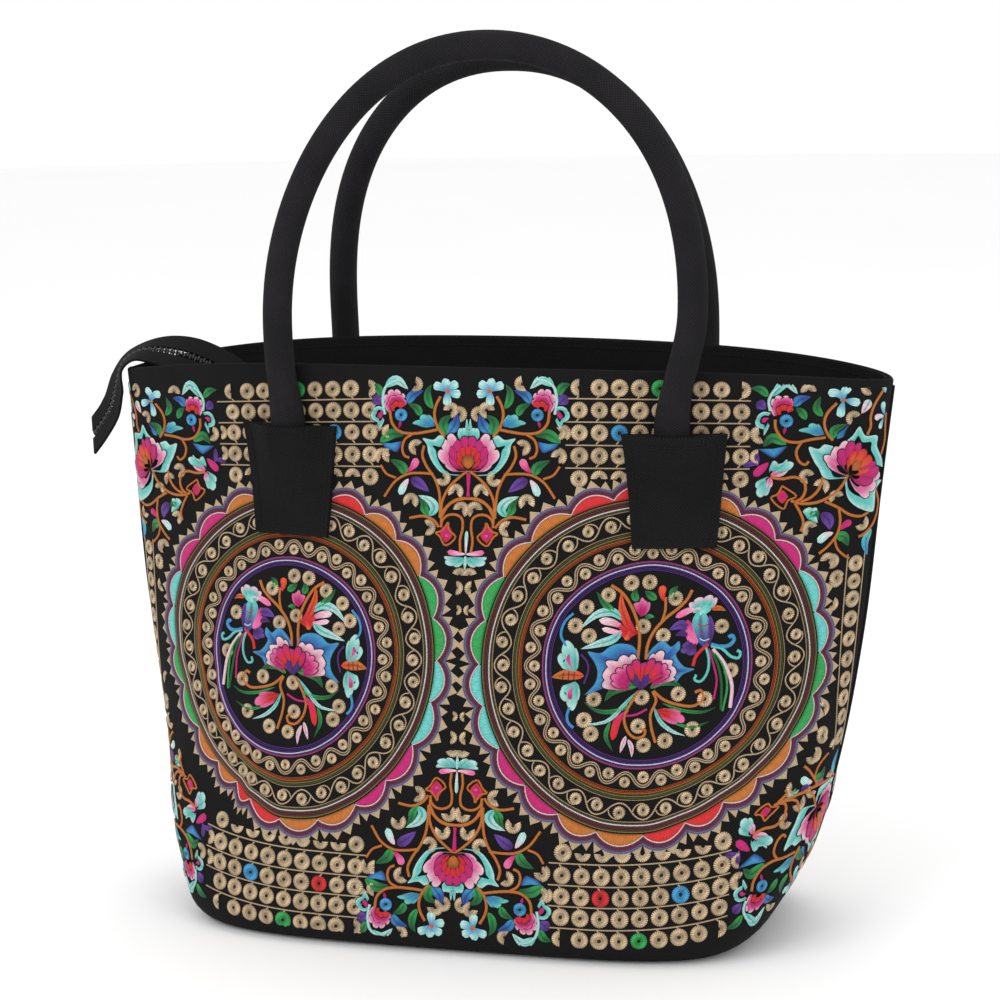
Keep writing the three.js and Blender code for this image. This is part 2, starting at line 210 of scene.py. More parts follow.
class Skin:
    """The outer face of one wall, by the distance s along the cloth from its middle and by height."""

    def __init__(self, face):
        self.face = face
        half = (np.pi / 2) * np.sin(np.linspace(0, np.pi / 2, 500)) ** 2
        angles = np.concatenate([-half[:0:-1], half])
        self.s_axis = np.arange(-260.0, 260.5, 1.0)
        self.shares = np.linspace(0, 1.0, 131)
        xs, ys, ends = [], [], []
        for share in self.shares:
            x, y = plan_point(face, share, angles)
            run = np.concatenate([[0], np.cumsum(np.hypot(np.diff(x), np.diff(y)))])
            run -= run[len(half) - 1]
            xs.append(np.interp(self.s_axis, run, x))
            ys.append(np.interp(self.s_axis, run, y))
            ends.append((run[0], run[-1]))
        self.x = np.array(xs)
        self.y = np.array(ys)
        self.ends = np.array(ends)
        z = self.shares[:, None] * rim_height(face, self.x)
        points = np.stack([self.x, self.y, z], -1)
        along = np.gradient(points, axis=1)
        # beyond a seam the table stands still, so its last true direction is kept
        beyond = np.linalg.norm(along, axis=-1) < 0.45
        along[beyond] = np.nan
        for row in along:
            known = ~np.isnan(row[:, 0])
            for k in range(3):
                row[:, k] = np.interp(self.s_axis, self.s_axis[known], row[known, k])
        up = np.gradient(points, axis=0)
        self.normal = unit(np.cross(along, up))
        flip = np.sign(self.normal[:, :, 1] * SIDE[face])
        self.normal *= np.where(flip == 0, 1, flip)[..., None]

    def read(self, table, s, share):
        """A value between the table's points."""
        i = np.clip(share * (len(self.shares) - 1), 0, len(self.shares) - 1.001)
        j = np.clip(s - self.s_axis[0], 0, len(self.s_axis) - 1.001)
        i0 = i.astype(int)
        j0 = j.astype(int)
        fi = i - i0
        fj = j - j0
        if table.ndim == 3:
            fi = fi[..., None]
            fj = fj[..., None]
        low = table[i0, j0] * (1 - fj) + table[i0, j0 + 1] * fj
        high = table[i0 + 1, j0] * (1 - fj) + table[i0 + 1, j0 + 1] * fj
        return low * (1 - fi) + high * fi

    def seam(self, share, end):
        """Distance along the cloth to the left (end 0) or right (end 1) seam."""
        return np.interp(share, self.shares, self.ends[:, end])

    def rim(self, s):
        """Height of the rim at a distance along the cloth."""
        return rim_height(self.face, self.read(self.x, s, np.ones_like(s)))

    def place(self, s, z, lift=0.0):
        """Points on the cloth, lifted off it by so many millimetres."""
        s, z, lift = np.broadcast_arrays(*(np.asarray(v, float) for v in (s, z, lift)))
        x = s * 0.93
        for _ in range(3):
            share = z / rim_height(self.face, x)
            x = self.read(self.x, s, share)
        y = self.read(self.y, s, share)
        out = unit(self.read(self.normal, s, share))
        offset = lift + folds(self.face, s, z)
        level = unit(out * (1, 1, 0))
        turned = level * base_inset(z)[..., None]
        return np.stack([x, y, z], -1) + out * offset[..., None] - turned


SKINS = {face: Skin(face) for face in SIDE}


def on_wall(face, x, z, lift):
    """Points on the outer face by their place across it, lifted off it."""
    x, z, lift = np.broadcast_arrays(*(np.asarray(v, float) for v in (x, z, lift)))

    def depth(dx, dz):
        return SIDE[face] * face_depth(face, x + dx, z + dz)

    zero = np.zeros_like(x)
    across = np.stack([zero + 2, depth(1, 0) - depth(-1, 0), zero], -1)
    up = np.stack([zero, depth(0, 1) - depth(0, -1), zero + 2], -1)
    out = unit(np.cross(across, up))
    out *= np.where(out[..., 1] * SIDE[face] < 0, -1, 1)[..., None]
    return np.stack([x, depth(0, 0), z], -1) + out * lift[..., None]


# Mesh making

def grid_quads(rows, columns, closed=False, start=0):
    """Faces of a grid of points counted row by row."""
    wide = columns if closed else columns - 1
    r, c = np.meshgrid(np.arange(rows - 1), np.arange(wide), indexing="ij")
    a = r * columns + c
    b = r * columns + (c + 1) % columns
    return np.stack([a, b, b + columns, a + columns], -1).reshape(-1, 4) + start


def make_piece(name, points, faces, material, nodes=(), uv=None, colour=None, sharp=40):
    """One mesh object of the bag, from points in millimetres."""
    points = np.asarray(points, float).reshape(-1, 3) * MM
    sizes = np.array([len(face) for face in faces])
    corners = np.concatenate([np.asarray(face) for face in faces]).astype(np.int32)
    mesh = bpy.data.meshes.new(name)
    mesh.vertices.add(len(points))
    mesh.vertices.foreach_set("co", points.astype(np.float32).ravel())
    mesh.loops.add(len(corners))
    mesh.loops.foreach_set("vertex_index", corners)
    mesh.polygons.add(len(sizes))
    starts = np.concatenate([[0], np.cumsum(sizes)[:-1]])
    mesh.polygons.foreach_set("loop_start", starts.astype(np.int32))
    mesh.update(calc_edges=True)
    if uv is not None:
        layer = mesh.uv_layers.new(name="cloth_mm")
        layer.data.foreach_set("uv", np.asarray(uv, np.float32).reshape(-1, 2)[corners].ravel())
    if colour is not None:
        layer = mesh.color_attributes.new(name="thread_colour", type="FLOAT_COLOR", domain="POINT")
        layer.data.foreach_set("color", np.asarray(colour, np.float32).reshape(-1, 4).ravel())
    mesh.polygons.foreach_set("use_smooth", np.ones(len(sizes), bool))
    if sharp:
        mesh.set_sharp_from_angle(angle=math.radians(sharp))
    mesh.validate()
    piece = bpy.data.objects.new(name, mesh)
    bpy.context.scene.collection.objects.link(piece)
    mesh.materials.append(material)
    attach(piece, "root")
    if nodes:
        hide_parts(*nodes)
    return piece


def turned_outward(points, faces):
    """The faces, turned over if the closed body they make is inside out."""
    points = np.asarray(points).reshape(-1, 3)
    volume = 0.0
    for face in faces:
        a, b, c = points[face[0]], points[face[1]], points[face[2]]
        volume += float(np.dot(a, np.cross(b, c)))
        if len(face) == 4:
            volume += float(np.dot(a, np.cross(c, points[face[3]])))
    return faces if volume > 0 else [list(face)[::-1] for face in faces]


def closed_loft(loops):
    """Points and faces of a body through like closed loops, with its two ends capped."""
    loops = np.asarray(loops)
    rows, columns = loops.shape[:2]
    faces = grid_quads(rows, columns, closed=True).tolist()
    for row, flip in ((0, False), (rows - 1, True)):
        for i in range(columns // 2 - 1):
            cap = [row * columns + n for n in (i, columns - 1 - i, columns - 2 - i, i + 1)]
            faces.append(cap[::-1] if flip else cap)
    return loops.reshape(-1, 3), turned_outward(loops, faces)


# Materials

def add_node(tree, kind, inputs=None, **settings):
    node = tree.nodes.new(kind)
    for key, value in settings.items():
        setattr(node, key, value)
    for key, value in (inputs or {}).items():
        if isinstance(value, bpy.types.NodeSocket):
            tree.links.new(value, node.inputs[key])
        else:
            node.inputs[key].default_value = value
    return node


def start_material(name):
    material = bpy.data.materials.new(name)
    material.use_nodes = True
    tree = material.node_tree
    tree.nodes.clear()
    shader = add_node(tree, "ShaderNodeBsdfPrincipled")
    output = add_node(tree, "ShaderNodeOutputMaterial")
    tree.links.new(shader.outputs["BSDF"], output.inputs["Surface"])
    return material, tree, shader


def group_sockets(name, inputs, outputs):
    """A node group with number sockets; gives the group, its inputs and its outputs."""
    tree = bpy.data.node_groups.new(name, "ShaderNodeTree")
    for label, value in inputs:
        socket = tree.interface.new_socket(label, in_out="INPUT", socket_type="NodeSocketFloat")
        socket.default_value = value
    for label in outputs:
        tree.interface.new_socket(label, in_out="OUTPUT", socket_type="NodeSocketFloat")
    return tree, add_node(tree, "NodeGroupInput"), add_node(tree, "NodeGroupOutput")


def math_node(tree, operation, first, second=None):
    """The output of one Math node."""
    inputs = {0: first} if second is None else {0: first, 1: second}
    return add_node(tree, "ShaderNodeMath", inputs, operation=operation).outputs[0]


def thread_ridges():
    """Node group: ridges and tones of threads that lie side by side along the first UV axis; the Tone holds painted
    shade in the grooves between threads and a random drift.
    """
    tree, source, result = group_sockets(
        "Thread Ridges", (("Thread Width", 0.7), ("Unevenness", 0.5), ("Slit", 0.5)), ("Height", "Tone"))
    uv = add_node(tree, "ShaderNodeUVMap", uv_map="cloth_mm")
    parts = add_node(tree, "ShaderNodeSeparateXYZ", {"Vector": uv.outputs["UV"]})
    count = math_node(tree, "DIVIDE", parts.outputs["Y"], source.outputs["Thread Width"])
    wave = math_node(tree, "SINE", math_node(tree, "MULTIPLY", count, math.pi))
    ridge = math_node(tree, "ABSOLUTE", wave)
    slow = math_node(tree, "MULTIPLY", parts.outputs["X"], 0.25)
    place = add_node(tree, "ShaderNodeCombineXYZ", {"X": slow, "Y": count})
    noise = add_node(tree, "ShaderNodeTexNoise", {"Vector": place.outputs[0], "Scale": 1.0, "Detail": 2.0})
    lump = math_node(tree, "MULTIPLY", noise.outputs["Fac"], source.outputs["Unevenness"])
    height = math_node(tree, "ADD", ridge, lump)
    # painted shade: Slit darkens the grooves between the threads
    open_gap = add_node(tree, "ShaderNodeMapRange", {"Value": ridge, "From Max": 0.8, "To Min": 1.0,
                                                     "To Max": 0.0})
    shade = math_node(tree, "MULTIPLY", open_gap.outputs[0], source.outputs["Slit"])
    light = math_node(tree, "SUBTRACT", 1.0, shade)
    drift = add_node(tree, "ShaderNodeMapRange", {"Value": noise.outputs["Fac"], "From Min": 0.3,
                                                  "From Max": 0.7, "To Min": 0.76, "To Max": 1.16})
    tone = math_node(tree, "MULTIPLY", light, drift.outputs[0])
    tree.links.new(height, result.inputs["Height"])
    tree.links.new(tone, result.inputs["Tone"])
    return tree


def plain_weave():
    """Node group: over and under of a plain weave, with lint and wear."""
    tree, source, result = group_sockets(
        "Plain Weave", (("Pitch", 0.9), ("Lint", 0.5), ("Wear", 0.5)), ("Height", "Tone", "Lint Mask"))
    uv = add_node(tree, "ShaderNodeUVMap", uv_map="cloth_mm")
    parts = add_node(tree, "ShaderNodeSeparateXYZ", {"Vector": uv.outputs["UV"]})
    waves = []
    for axis in ("X", "Y"):
        turns = math_node(tree, "DIVIDE", parts.outputs[axis], source.outputs["Pitch"])
        waves.append(math_node(tree, "SINE", math_node(tree, "MULTIPLY", turns, math.pi)))
    cross = math_node(tree, "MULTIPLY", waves[0], waves[1])
    yarn = add_node(tree, "ShaderNodeTexNoise", {"Vector": uv.outputs["UV"], "Scale": 0.9, "Detail": 4.0})
    lump = math_node(tree, "MULTIPLY", yarn.outputs["Fac"], 1.4)
    height = math_node(tree, "ADD", cross, lump)
    weave = add_node(tree, "ShaderNodeMapRange", {"Value": height, "From Min": -0.4, "From Max": 1.8,
                                                  "To Min": 0.55, "To Max": 1.6})
    cloud = add_node(tree, "ShaderNodeTexNoise", {"Vector": uv.outputs["UV"], "Scale": 0.035, "Detail": 3.0})
    worn = add_node(tree, "ShaderNodeMapRange", {"Value": cloud.outputs["Fac"], "From Min": 0.35,
                                                 "From Max": 0.7, "To Min": 0.0, "To Max": 0.5})
    wear = math_node(tree, "ADD", 1.0, math_node(tree, "MULTIPLY", worn.outputs[0], source.outputs["Wear"]))
    tone = math_node(tree, "MULTIPLY", weave.outputs[0], wear)
    fluff = add_node(tree, "ShaderNodeTexNoise", {"Vector": uv.outputs["UV"], "Scale": 1.7, "Detail": 6.0,
                                                  "Roughness": 0.7})
    speck = add_node(tree, "ShaderNodeMapRange", {"Value": fluff.outputs["Fac"], "From Min": 0.62,
                                                  "From Max": 0.74, "To Min": 0.0, "To Max": 1.0})
    lint = math_node(tree, "MULTIPLY", speck.outputs[0], source.outputs["Lint"])
    tree.links.new(height, result.inputs["Height"])
    tree.links.new(tone, result.inputs["Tone"])
    tree.links.new(lint, result.inputs["Lint Mask"])
    return tree


def shared_group(name, make):
    """The node group of this name, made at its first use."""
    return bpy.data.node_groups.get(name) or make()


def mix_result(node):
    """The colour output of a Mix node, which has one output of each kind under one name."""
    return [socket for socket in node.outputs if socket.type == "RGBA"][0]


def woven_cloth(name, colour, lint_colour, pitch=0.9, lint=0.5, wear=0.5, relief=0.00018, roughness=0.92):
    """Black canvas: woven yarns, lighter worn places and lint."""
    material, tree, shader = start_material(name)
    weave = add_node(tree, "ShaderNodeGroup", node_tree=shared_group("Plain Weave", plain_weave))
    for label, value in (("Pitch", pitch), ("Lint", lint), ("Wear", wear)):
        weave.inputs[label].default_value = value
    dyed = add_node(tree, "ShaderNodeVectorMath", {0: colour, 1: weave.outputs["Tone"]}, operation="MULTIPLY")
    mixed = add_node(tree, "ShaderNodeMix", data_type="RGBA")
    colours = [socket for socket in mixed.inputs if socket.type == "RGBA"]
    tree.links.new(weave.outputs["Lint Mask"], mixed.inputs["Factor"])
    tree.links.new(dyed.outputs[0], colours[0])
    colours[1].default_value = (*lint_colour, 1)
    tree.links.new(mix_result(mixed), shader.inputs["Base Color"])
    bump = add_node(tree, "ShaderNodeBump", {"Height": weave.outputs["Height"], "Strength": 0.6,
                                             "Distance": relief})
    tree.links.new(bump.outputs["Normal"], shader.inputs["Normal"])
    shader.inputs["Roughness"].default_value = roughness
    shader.inputs["Specular IOR Level"].default_value = 0.12
    return material


def satin_thread(name, width, relief):
    """Glossy embroidery thread in the colours of the stitched shapes."""
    material, tree, shader = start_material(name)
    dye = add_node(tree, "ShaderNodeVertexColor", layer_name="thread_colour")
    ridges = add_node(tree, "ShaderNodeGroup", {"Slit": dye.outputs["Alpha"]},
                      node_tree=shared_group("Thread Ridges", thread_ridges))
    ridges.inputs["Thread Width"].default_value = width
    # the thread colours carry painted shade from the shapes, and the Tone adds painted shade between the threads
    tinted = add_node(tree, "ShaderNodeVectorMath", {0: dye.outputs["Color"], 1: ridges.outputs["Tone"]},
                      operation="MULTIPLY")
    tree.links.new(tinted.outputs[0], shader.inputs["Base Color"])
    bump = add_node(tree, "ShaderNodeBump", {"Height": ridges.outputs["Height"], "Strength": 0.6,
                                             "Distance": relief})
    tree.links.new(bump.outputs["Normal"], shader.inputs["Normal"])
    shader.inputs["Roughness"].default_value = 0.5
    shader.inputs["Specular IOR Level"].default_value = 0.3
    return material


def edge_wear():
    """Node group: where edges and grain have been rubbed, and a fine pitted height."""
    tree, source, result = group_sockets("Edge Wear", (("Amount", 0.5), ("Grain", 900.0)), ("Mask", "Height"))
    form = add_node(tree, "ShaderNodeNewGeometry")
    place = add_node(tree, "ShaderNodeTexCoord")
    grain = add_node(tree, "ShaderNodeTexNoise", {"Vector": place.outputs["Object"],
                                                  "Scale": source.outputs["Grain"], "Detail": 4.0})
    edge = add_node(tree, "ShaderNodeMapRange", {"Value": form.outputs["Pointiness"], "From Min": 0.5,
                                                 "From Max": 0.6})
    patch = math_node(tree, "MULTIPLY", edge.outputs[0], grain.outputs["Fac"])
    rubbed = math_node(tree, "MULTIPLY", patch, source.outputs["Amount"])
    tree.links.new(rubbed, result.inputs["Mask"])
    tree.links.new(grain.outputs["Fac"], result.inputs["Height"])
    return tree


def hard_black(name, colour, worn_colour, roughness, wear, grain, relief, metallic=0.0):
    """Moulded plastic or enamel with rubbed edges."""
    material, tree, shader = start_material(name)
    worn = add_node(tree, "ShaderNodeGroup", node_tree=shared_group("Edge Wear", edge_wear))
    worn.inputs["Amount"].default_value = wear
    worn.inputs["Grain"].default_value = grain
    mixed = add_node(tree, "ShaderNodeMix", data_type="RGBA")
    colours = [socket for socket in mixed.inputs if socket.type == "RGBA"]
    tree.links.new(worn.outputs["Mask"], mixed.inputs["Factor"])
    colours[0].default_value = (*colour, 1)
    colours[1].default_value = (*worn_colour, 1)
    tree.links.new(mix_result(mixed), shader.inputs["Base Color"])
    gloss = add_node(tree, "ShaderNodeMapRange", {"Value": worn.outputs["Height"], "To Min": roughness - 0.1,
                                                  "To Max": roughness + 0.12})
    tree.links.new(gloss.outputs[0], shader.inputs["Roughness"])
    bump = add_node(tree, "ShaderNodeBump", {"Height": worn.outputs["Height"], "Strength": 0.4,
                                             "Distance": relief})
    tree.links.new(bump.outputs["Normal"], shader.inputs["Normal"])
    shader.inputs["Metallic"].default_value = metallic
    return material


def pale_floor(colour):
    """Matt paper-like floor, very slightly clouded."""
    material, tree, shader = start_material("pale_floor")
    place = add_node(tree, "ShaderNodeTexCoord")
    cloud = add_node(tree, "ShaderNodeTexNoise", {"Vector": place.outputs["Object"], "Scale": 1.5})
    tint = add_node(tree, "ShaderNodeMapRange", {"Value": cloud.outputs["Fac"], "To Min": 0.985, "To Max": 1.015})
    shade = add_node(tree, "ShaderNodeVectorMath", {0: tuple(colour), 1: tint.outputs[0]}, operation="MULTIPLY")
    tree.links.new(shade.outputs[0], shader.inputs["Base Color"])
    shader.inputs["Roughness"].default_value = 0.9
    return material


def beads(centres, along, normal, size, square=2.6):
    """Rounded blocks of one size (length, width, height) at many places: stitches or teeth."""
    centres, along, normal = (np.asarray(part, float) for part in (centres, along, normal))
    aside = unit(np.cross(normal, along))
    turn = 2 * np.pi * (np.arange(8) + 0.5) / 8
    reach = np.array([-1.0, -0.9, -0.5, 0.5, 0.9, 1.0])
    girth = np.maximum(0.3, (1 - np.abs(reach) ** square) ** (1 / square))
    wide, high = (np.sign(part) * np.abs(part) ** (2 / square) for part in (np.cos(turn), np.sin(turn)))
    points = (centres[:, None, None] + along[:, None, None] * (reach * size[0] / 2)[:, None, None]
              + aside[:, None, None] * (girth[:, None] * wide * size[1] / 2)[..., None]
              + normal[:, None, None] * (girth[:, None] * high * size[2] / 2)[..., None])
    first, faces = closed_loft(points[0])
    faces = np.array(faces)
    faces = faces[None] + (np.arange(len(points)) * len(first))[:, None, None]
    run = reach[:, None] * size[0] / 2 + 0 * turn
    around = turn * size[1] / 2 + 0 * reach[:, None]
    uv = np.broadcast_to(np.stack([run, around], -1), (len(points), 6, 8, 2))
    return points.reshape(-1, 3), faces.reshape(-1, 4).tolist(), uv.reshape(-1, 2)


def spaced(line, normals, pitch):
    """Places at an even pitch along a line, with its direction and its normal there."""
    run = np.concatenate([[0], np.cumsum(np.linalg.norm(np.diff(line, axis=0), axis=1))])
    at = np.arange(pitch / 2, run[-1], pitch)

    def between(values, where):
        return np.stack([np.interp(where, run, values[:, k]) for k in range(3)], -1)

    ahead = unit(between(line, at + 0.4) - between(line, at - 0.4))
    return between(line, at), ahead, unit(between(normals, at))


def stitched(name, rows, pitch, material, size=0.75):
    """Rows of stitches, each with its line and the cloth's normal along it."""
    parts = [spaced(line, normals, pitch) for line, normals in rows]
    centres, ahead, up = (np.concatenate([part[k] for part in parts]) for k in range(3))
    points, faces, uv = beads(centres, ahead, up, (pitch * 0.8, size, size * 0.8), square=2.0)
    return make_piece(name, points, faces, material, uv=uv, sharp=0)


# Cloth pieces

def wall_shell(face):
    """Grid of one wall: up its outer side, over the rim and down its inner side."""
    skin = SKINS[face]
    t = np.linspace(-1, 1, 121)
    turn = BASE_EDGE_RADIUS * (1 - np.cos(np.linspace(0, np.pi / 2, 8)))
    low = turn / BODY_HEIGHT
    climb = np.concatenate([low[:-1], np.linspace(low[-1], 1, 64)])
    rows = []
    for share, depth in [(v, 0.0) for v in climb] + [(v, WALL_THICKNESS) for v in climb[::-1]]:
        seam = np.where(t < 0, -skin.seam(share, 0), skin.seam(share, 1))
        s = t * seam
        z = share * skin.rim(s)
        rows.append((s, z, depth))
    s = np.array([row[0] for row in rows])
    z = np.array([row[1] for row in rows])
    lift = -np.array([row[2] for row in rows])[:, None]
    return s, z, lift


def wall_piece(face, material):
    skin = SKINS[face]
    s, z, lift = wall_shell(face)
    points = skin.place(s, z, lift)
    # the cloth is folded over at the rim, so its edge is round
    count = len(s) // 2
    top = points[count - 1]
    inner = points[count]
    rounded = []
    for angle in np.linspace(0, np.pi, 6)[1:-1]:
        across = (1 - math.cos(angle)) / 2
        lifted = lerp(top, inner, across)
        lifted[:, 2] += 0.9 * math.sin(angle)
        rounded.append(lifted)
    points = np.concatenate([points[:count], rounded, points[count:]])
    uv_s = np.concatenate([s[:count], np.repeat(s[count - 1:count], 4, 0), s[count:]])
    rise = np.concatenate([z[:count], z[count - 1] + np.arange(1, 5)[:, None], 2 * z[count - 1] + 5 - z[count:]])
    rows, columns = points.shape[:2]
    faces = grid_quads(rows, columns)
    if face == "front":
        faces = faces[:, ::-1]
    faces = faces[:, ::-1]
    uv = np.stack([uv_s, rise], -1)
    return make_piece(f"{face}_wall_cloth", points, faces.tolist(), material,
                      [f"{face}_panel"], uv=uv)


def seam_piece(end, material):
    """The raised seam at one end of the bag, where the two walls are sewn together."""
    skin = SKINS["front"]
    share = np.linspace(0.004, 0.99, 80)
    s = skin.seam(share, 0 if end < 0 else 1)
    line = skin.place(s, share * skin.rim(s))
    line[:, 1] = 0
    along = unit(np.gradient(line, axis=0))
    aside = np.array([0.0, 1.0, 0.0])
    out = np.cross(along, aside)
    turn = 2 * np.pi * np.arange(10) / 10
    loops = (line[:, None] + aside * (1.5 * np.cos(turn))[:, None]
             + out[:, None] * (1.0 * np.sin(turn))[:, None])
    points, faces = closed_loft(loops)
    uv = np.stack([np.tile(turn * 1.3, len(line)), np.repeat(line[:, 2], 10)], -1)
    side = "left" if end < 0 else "right"
    return make_piece(f"{side}_seam_ridge", points, faces, material, uv=uv, sharp=0)


def facing_piece(face, material):
    """The hem turned in round the mouth."""
    skin = SKINS[face]
    t = np.linspace(-1, 1, 149)
    downs = np.linspace(1, 0, 14)
    inset = WALL_THICKNESS + SEWN_GAP
    rows = [(down, inset) for down in downs] + [(down, inset + FACING_THICKNESS) for down in downs[::-1]]
    seam = np.where(t < 0, -skin.seam(1.0, 0) - inset, skin.seam(1.0, 1) - inset)
    loops = []
    for down, depth in rows:
        s = t * seam
        share = 1 - down * FACING_DEPTH / BODY_HEIGHT
        loops.append(skin.place(s, share * skin.rim(s), -depth))
    loops = np.swapaxes(np.array(loops), 0, 1)
    points, faces = closed_loft(loops)
    s = np.repeat(t * seam, len(rows))
    along = np.tile(np.array([down * FACING_DEPTH for down, _ in rows]), len(t))
    make_piece(f"{face}_facing_cloth", points, faces, material,
               [f"{face}_facing"], uv=np.stack([s, along], -1))


def facing_stitches(face, pitch, material):
    """Two rows of topstitching through the facing, seen on the inside."""
    skin = SKINS[face]
    inset = WALL_THICKNESS + SEWN_GAP + FACING_THICKNESS
    s = np.linspace(-skin.seam(1.0, 0) * -1 + inset + 2, skin.seam(1.0, 1) - inset - 2, 300)
    rows = []
    for drop in (4.0, 28.0):
        share = 1 - drop / BODY_HEIGHT
        line = skin.place(s, share * skin.rim(s), -inset - 0.1)
        rows.append((line, unit(skin.place(s, share * skin.rim(s), -inset - 1.1) - line)))
    return stitched(f"{face}_facing_stitches", rows, pitch, material)


def base_piece(material):
    """The stiff base, a flat oval-ended board in cloth."""
    inset = BASE_EDGE_RADIUS + SEWN_GAP
    angles = np.pi / 2 * np.sin(np.linspace(-np.pi / 2, np.pi / 2, 81))
    x, front = plan_point("front", 0.0, angles, inset)
    across = np.linspace(-1, 1, 25)
    lower = np.stack([np.stack([x, -front * a, np.zeros_like(x)], -1) for a in across])
    upper = lower + (0, 0, BASE_THICKNESS)
    loops = np.concatenate([lower, upper[::-1]])
    points, faces = closed_loft(np.swapaxes(loops, 0, 1))
    return make_piece("base_board", points, faces, material, ["base_panel"],
                      uv=points[:, :2])


def handle_sizes(face):
    row = HANDLES[face]
    tab_top = BODY_HEIGHT - TAB_DROP
    return {
        "half": row["span"] * HANDLE_SPAN / 2,
        "tab_half": row["tab_span"] * HANDLE_SPAN / 2,
        "centre": row["shift"] * HANDLE_SPAN,
        "tab_centre": row["tab_shift"] * HANDLE_SPAN,
        "tab_top": tab_top,
        "spring": BODY_HEIGHT + row["spring"] * HANDLE_RISE,
        "top": BODY_HEIGHT + row["rise"] * HANDLE_RISE,
        "lean": row["lean"] * BODY_DEPTH,
        "roundness": row["roundness"],
    }


def handle_line(face, leg_steps=26, arch_steps=90):
    """Middle line of a roll with its half width and half depth."""
    size = handle_sizes(face)
    share = np.arange(leg_steps) / leg_steps
    leg_z = size["tab_top"] + SEWN_GAP + (size["spring"] - size["tab_top"]) * share
    ease = smoothstep(share)
    middle = lerp(size["tab_centre"], size["centre"], ease)
    spread = lerp(size["tab_half"], size["half"], ease)
    angle = np.pi * np.arange(arch_steps + 1) / arch_steps
    power = 2 / size["roundness"]
    cosine = np.cos(angle)
    arch_x = size["centre"] - size["half"] * np.sign(cosine) * np.abs(cosine) ** power
    arch_z = size["spring"] + (size["top"] - size["spring"]) * np.abs(np.sin(angle)) ** power
    x = np.concatenate([middle - spread, arch_x, (middle + spread)[::-1]])
    z = np.concatenate([leg_z, arch_z, leg_z[::-1]])
    pressed = 1 - smoothstep((z - size["tab_top"]) / TAB_DROP)
    wide = lerp(ROLL_RADIUS, ROLL_END_WIDTH / 2, pressed)
    deep = lerp(ROLL_RADIUS, ROLL_END_DEPTH / 2, pressed)
    seat = face_depth(face, x, np.minimum(z, BODY_HEIGHT)) + ROLL_CLEARANCE + deep
    climb = smoothstep((z - BODY_HEIGHT) / (size["top"] - BODY_HEIGHT))
    y = SIDE[face] * (seat - size["lean"] * climb)
    return np.stack([x, y, z], -1), wide, deep


def roll_piece(face, material):
    """A rolled handle, pressed flat at its ends."""
    line, wide, deep = handle_line(face)
    along = unit(np.gradient(line, axis=0))
    across = unit(np.cross(along, (0, 1, 0)))
    through = np.cross(across, along)
    sides = 28
    angle = 2 * np.pi * np.arange(sides) / sides
    run = np.concatenate([[0], np.cumsum(np.linalg.norm(np.diff(line, axis=0), axis=1))])
    loops = (line[:, None] + across[:, None] * (wide[:, None] * np.cos(angle))[..., None]
             + through[:, None] * (deep[:, None] * np.sin(angle))[..., None])
    points, faces = closed_loft(loops)
    around = np.broadcast_to(angle * ROLL_RADIUS, (len(line), sides))
    uv = np.stack([around, np.broadcast_to(run[:, None], around.shape)], -1)
    piece = make_piece(f"{face}_roll", points, faces, material,
                       [f"{face}_handle"], uv=uv, sharp=60)
    return piece


def tab_piece(face, end, material, thread_material, pitch):
    """A trapezoid patch that domes over the end of a roll, stitched round its edge."""
    size = handle_sizes(face)
    columns, rows = 45, 45
    across = np.linspace(-0.5, 0.5, columns)[:, None]
    down = np.linspace(0, 1, rows)[None, :]
    cover = 1 - smoothstep((np.abs(across) * TAB_TOP_WIDTH - ROLL_END_WIDTH * 0.35) / ROLL_END_WIDTH)
    fall = 1 - smoothstep(down * 1.25)
    welt = TAB_HEM_HEIGHT * np.maximum(0, np.abs(across) * 2 - 0.82) / 0.18
    thickness = TAB_CLOTH + (ROLL_END_DEPTH + ROLL_CLEARANCE) * cover * fall + welt * (1 - down * 0.5)
    width = lerp(TAB_TOP_WIDTH, TAB_BOTTOM_WIDTH, down**0.8)
    x = size["tab_centre"] + end * size["tab_half"] + across * width
    z = size["tab_top"] - down * TAB_HEIGHT + 0 * across
    outer = on_wall(face, x, z, SEWN_GAP + thickness)
    inner = on_wall(face, x, z, SEWN_GAP + 0 * thickness)
    outer[:, 0, 2] = size["tab_top"]
    inner[:, 0, 2] = size["tab_top"]
    points, faces = closed_loft(np.concatenate([outer, inner[:, ::-1]], 1))
    uv = np.stack([np.concatenate([x, x[:, ::-1]], 1), np.concatenate([z, z[:, ::-1]], 1)], -1)
    side = "left" if end < 0 else "right"
    make_piece(f"{face}_{side}_tab_cloth", points, faces, material,
               [f"{face}_{side}_tab"], uv=uv, sharp=50)
    normal = unit(np.cross(np.gradient(outer, axis=0), np.gradient(outer, axis=1)))
    normal = normal * np.where(normal[..., 1] * SIDE[face] < 0, -1, 1)[..., None]
    raised = outer + normal * 0.1
    rows = [(raised[edge], normal[edge]) for edge in
            (np.s_[3, 3:-3], np.s_[-4, 3:-3], np.s_[3:-3, 3], np.s_[3:-3, -4])]
    return stitched(f"{face}_{side}_tab_stitches", rows, pitch, thread_material, 0.8)


# Zip

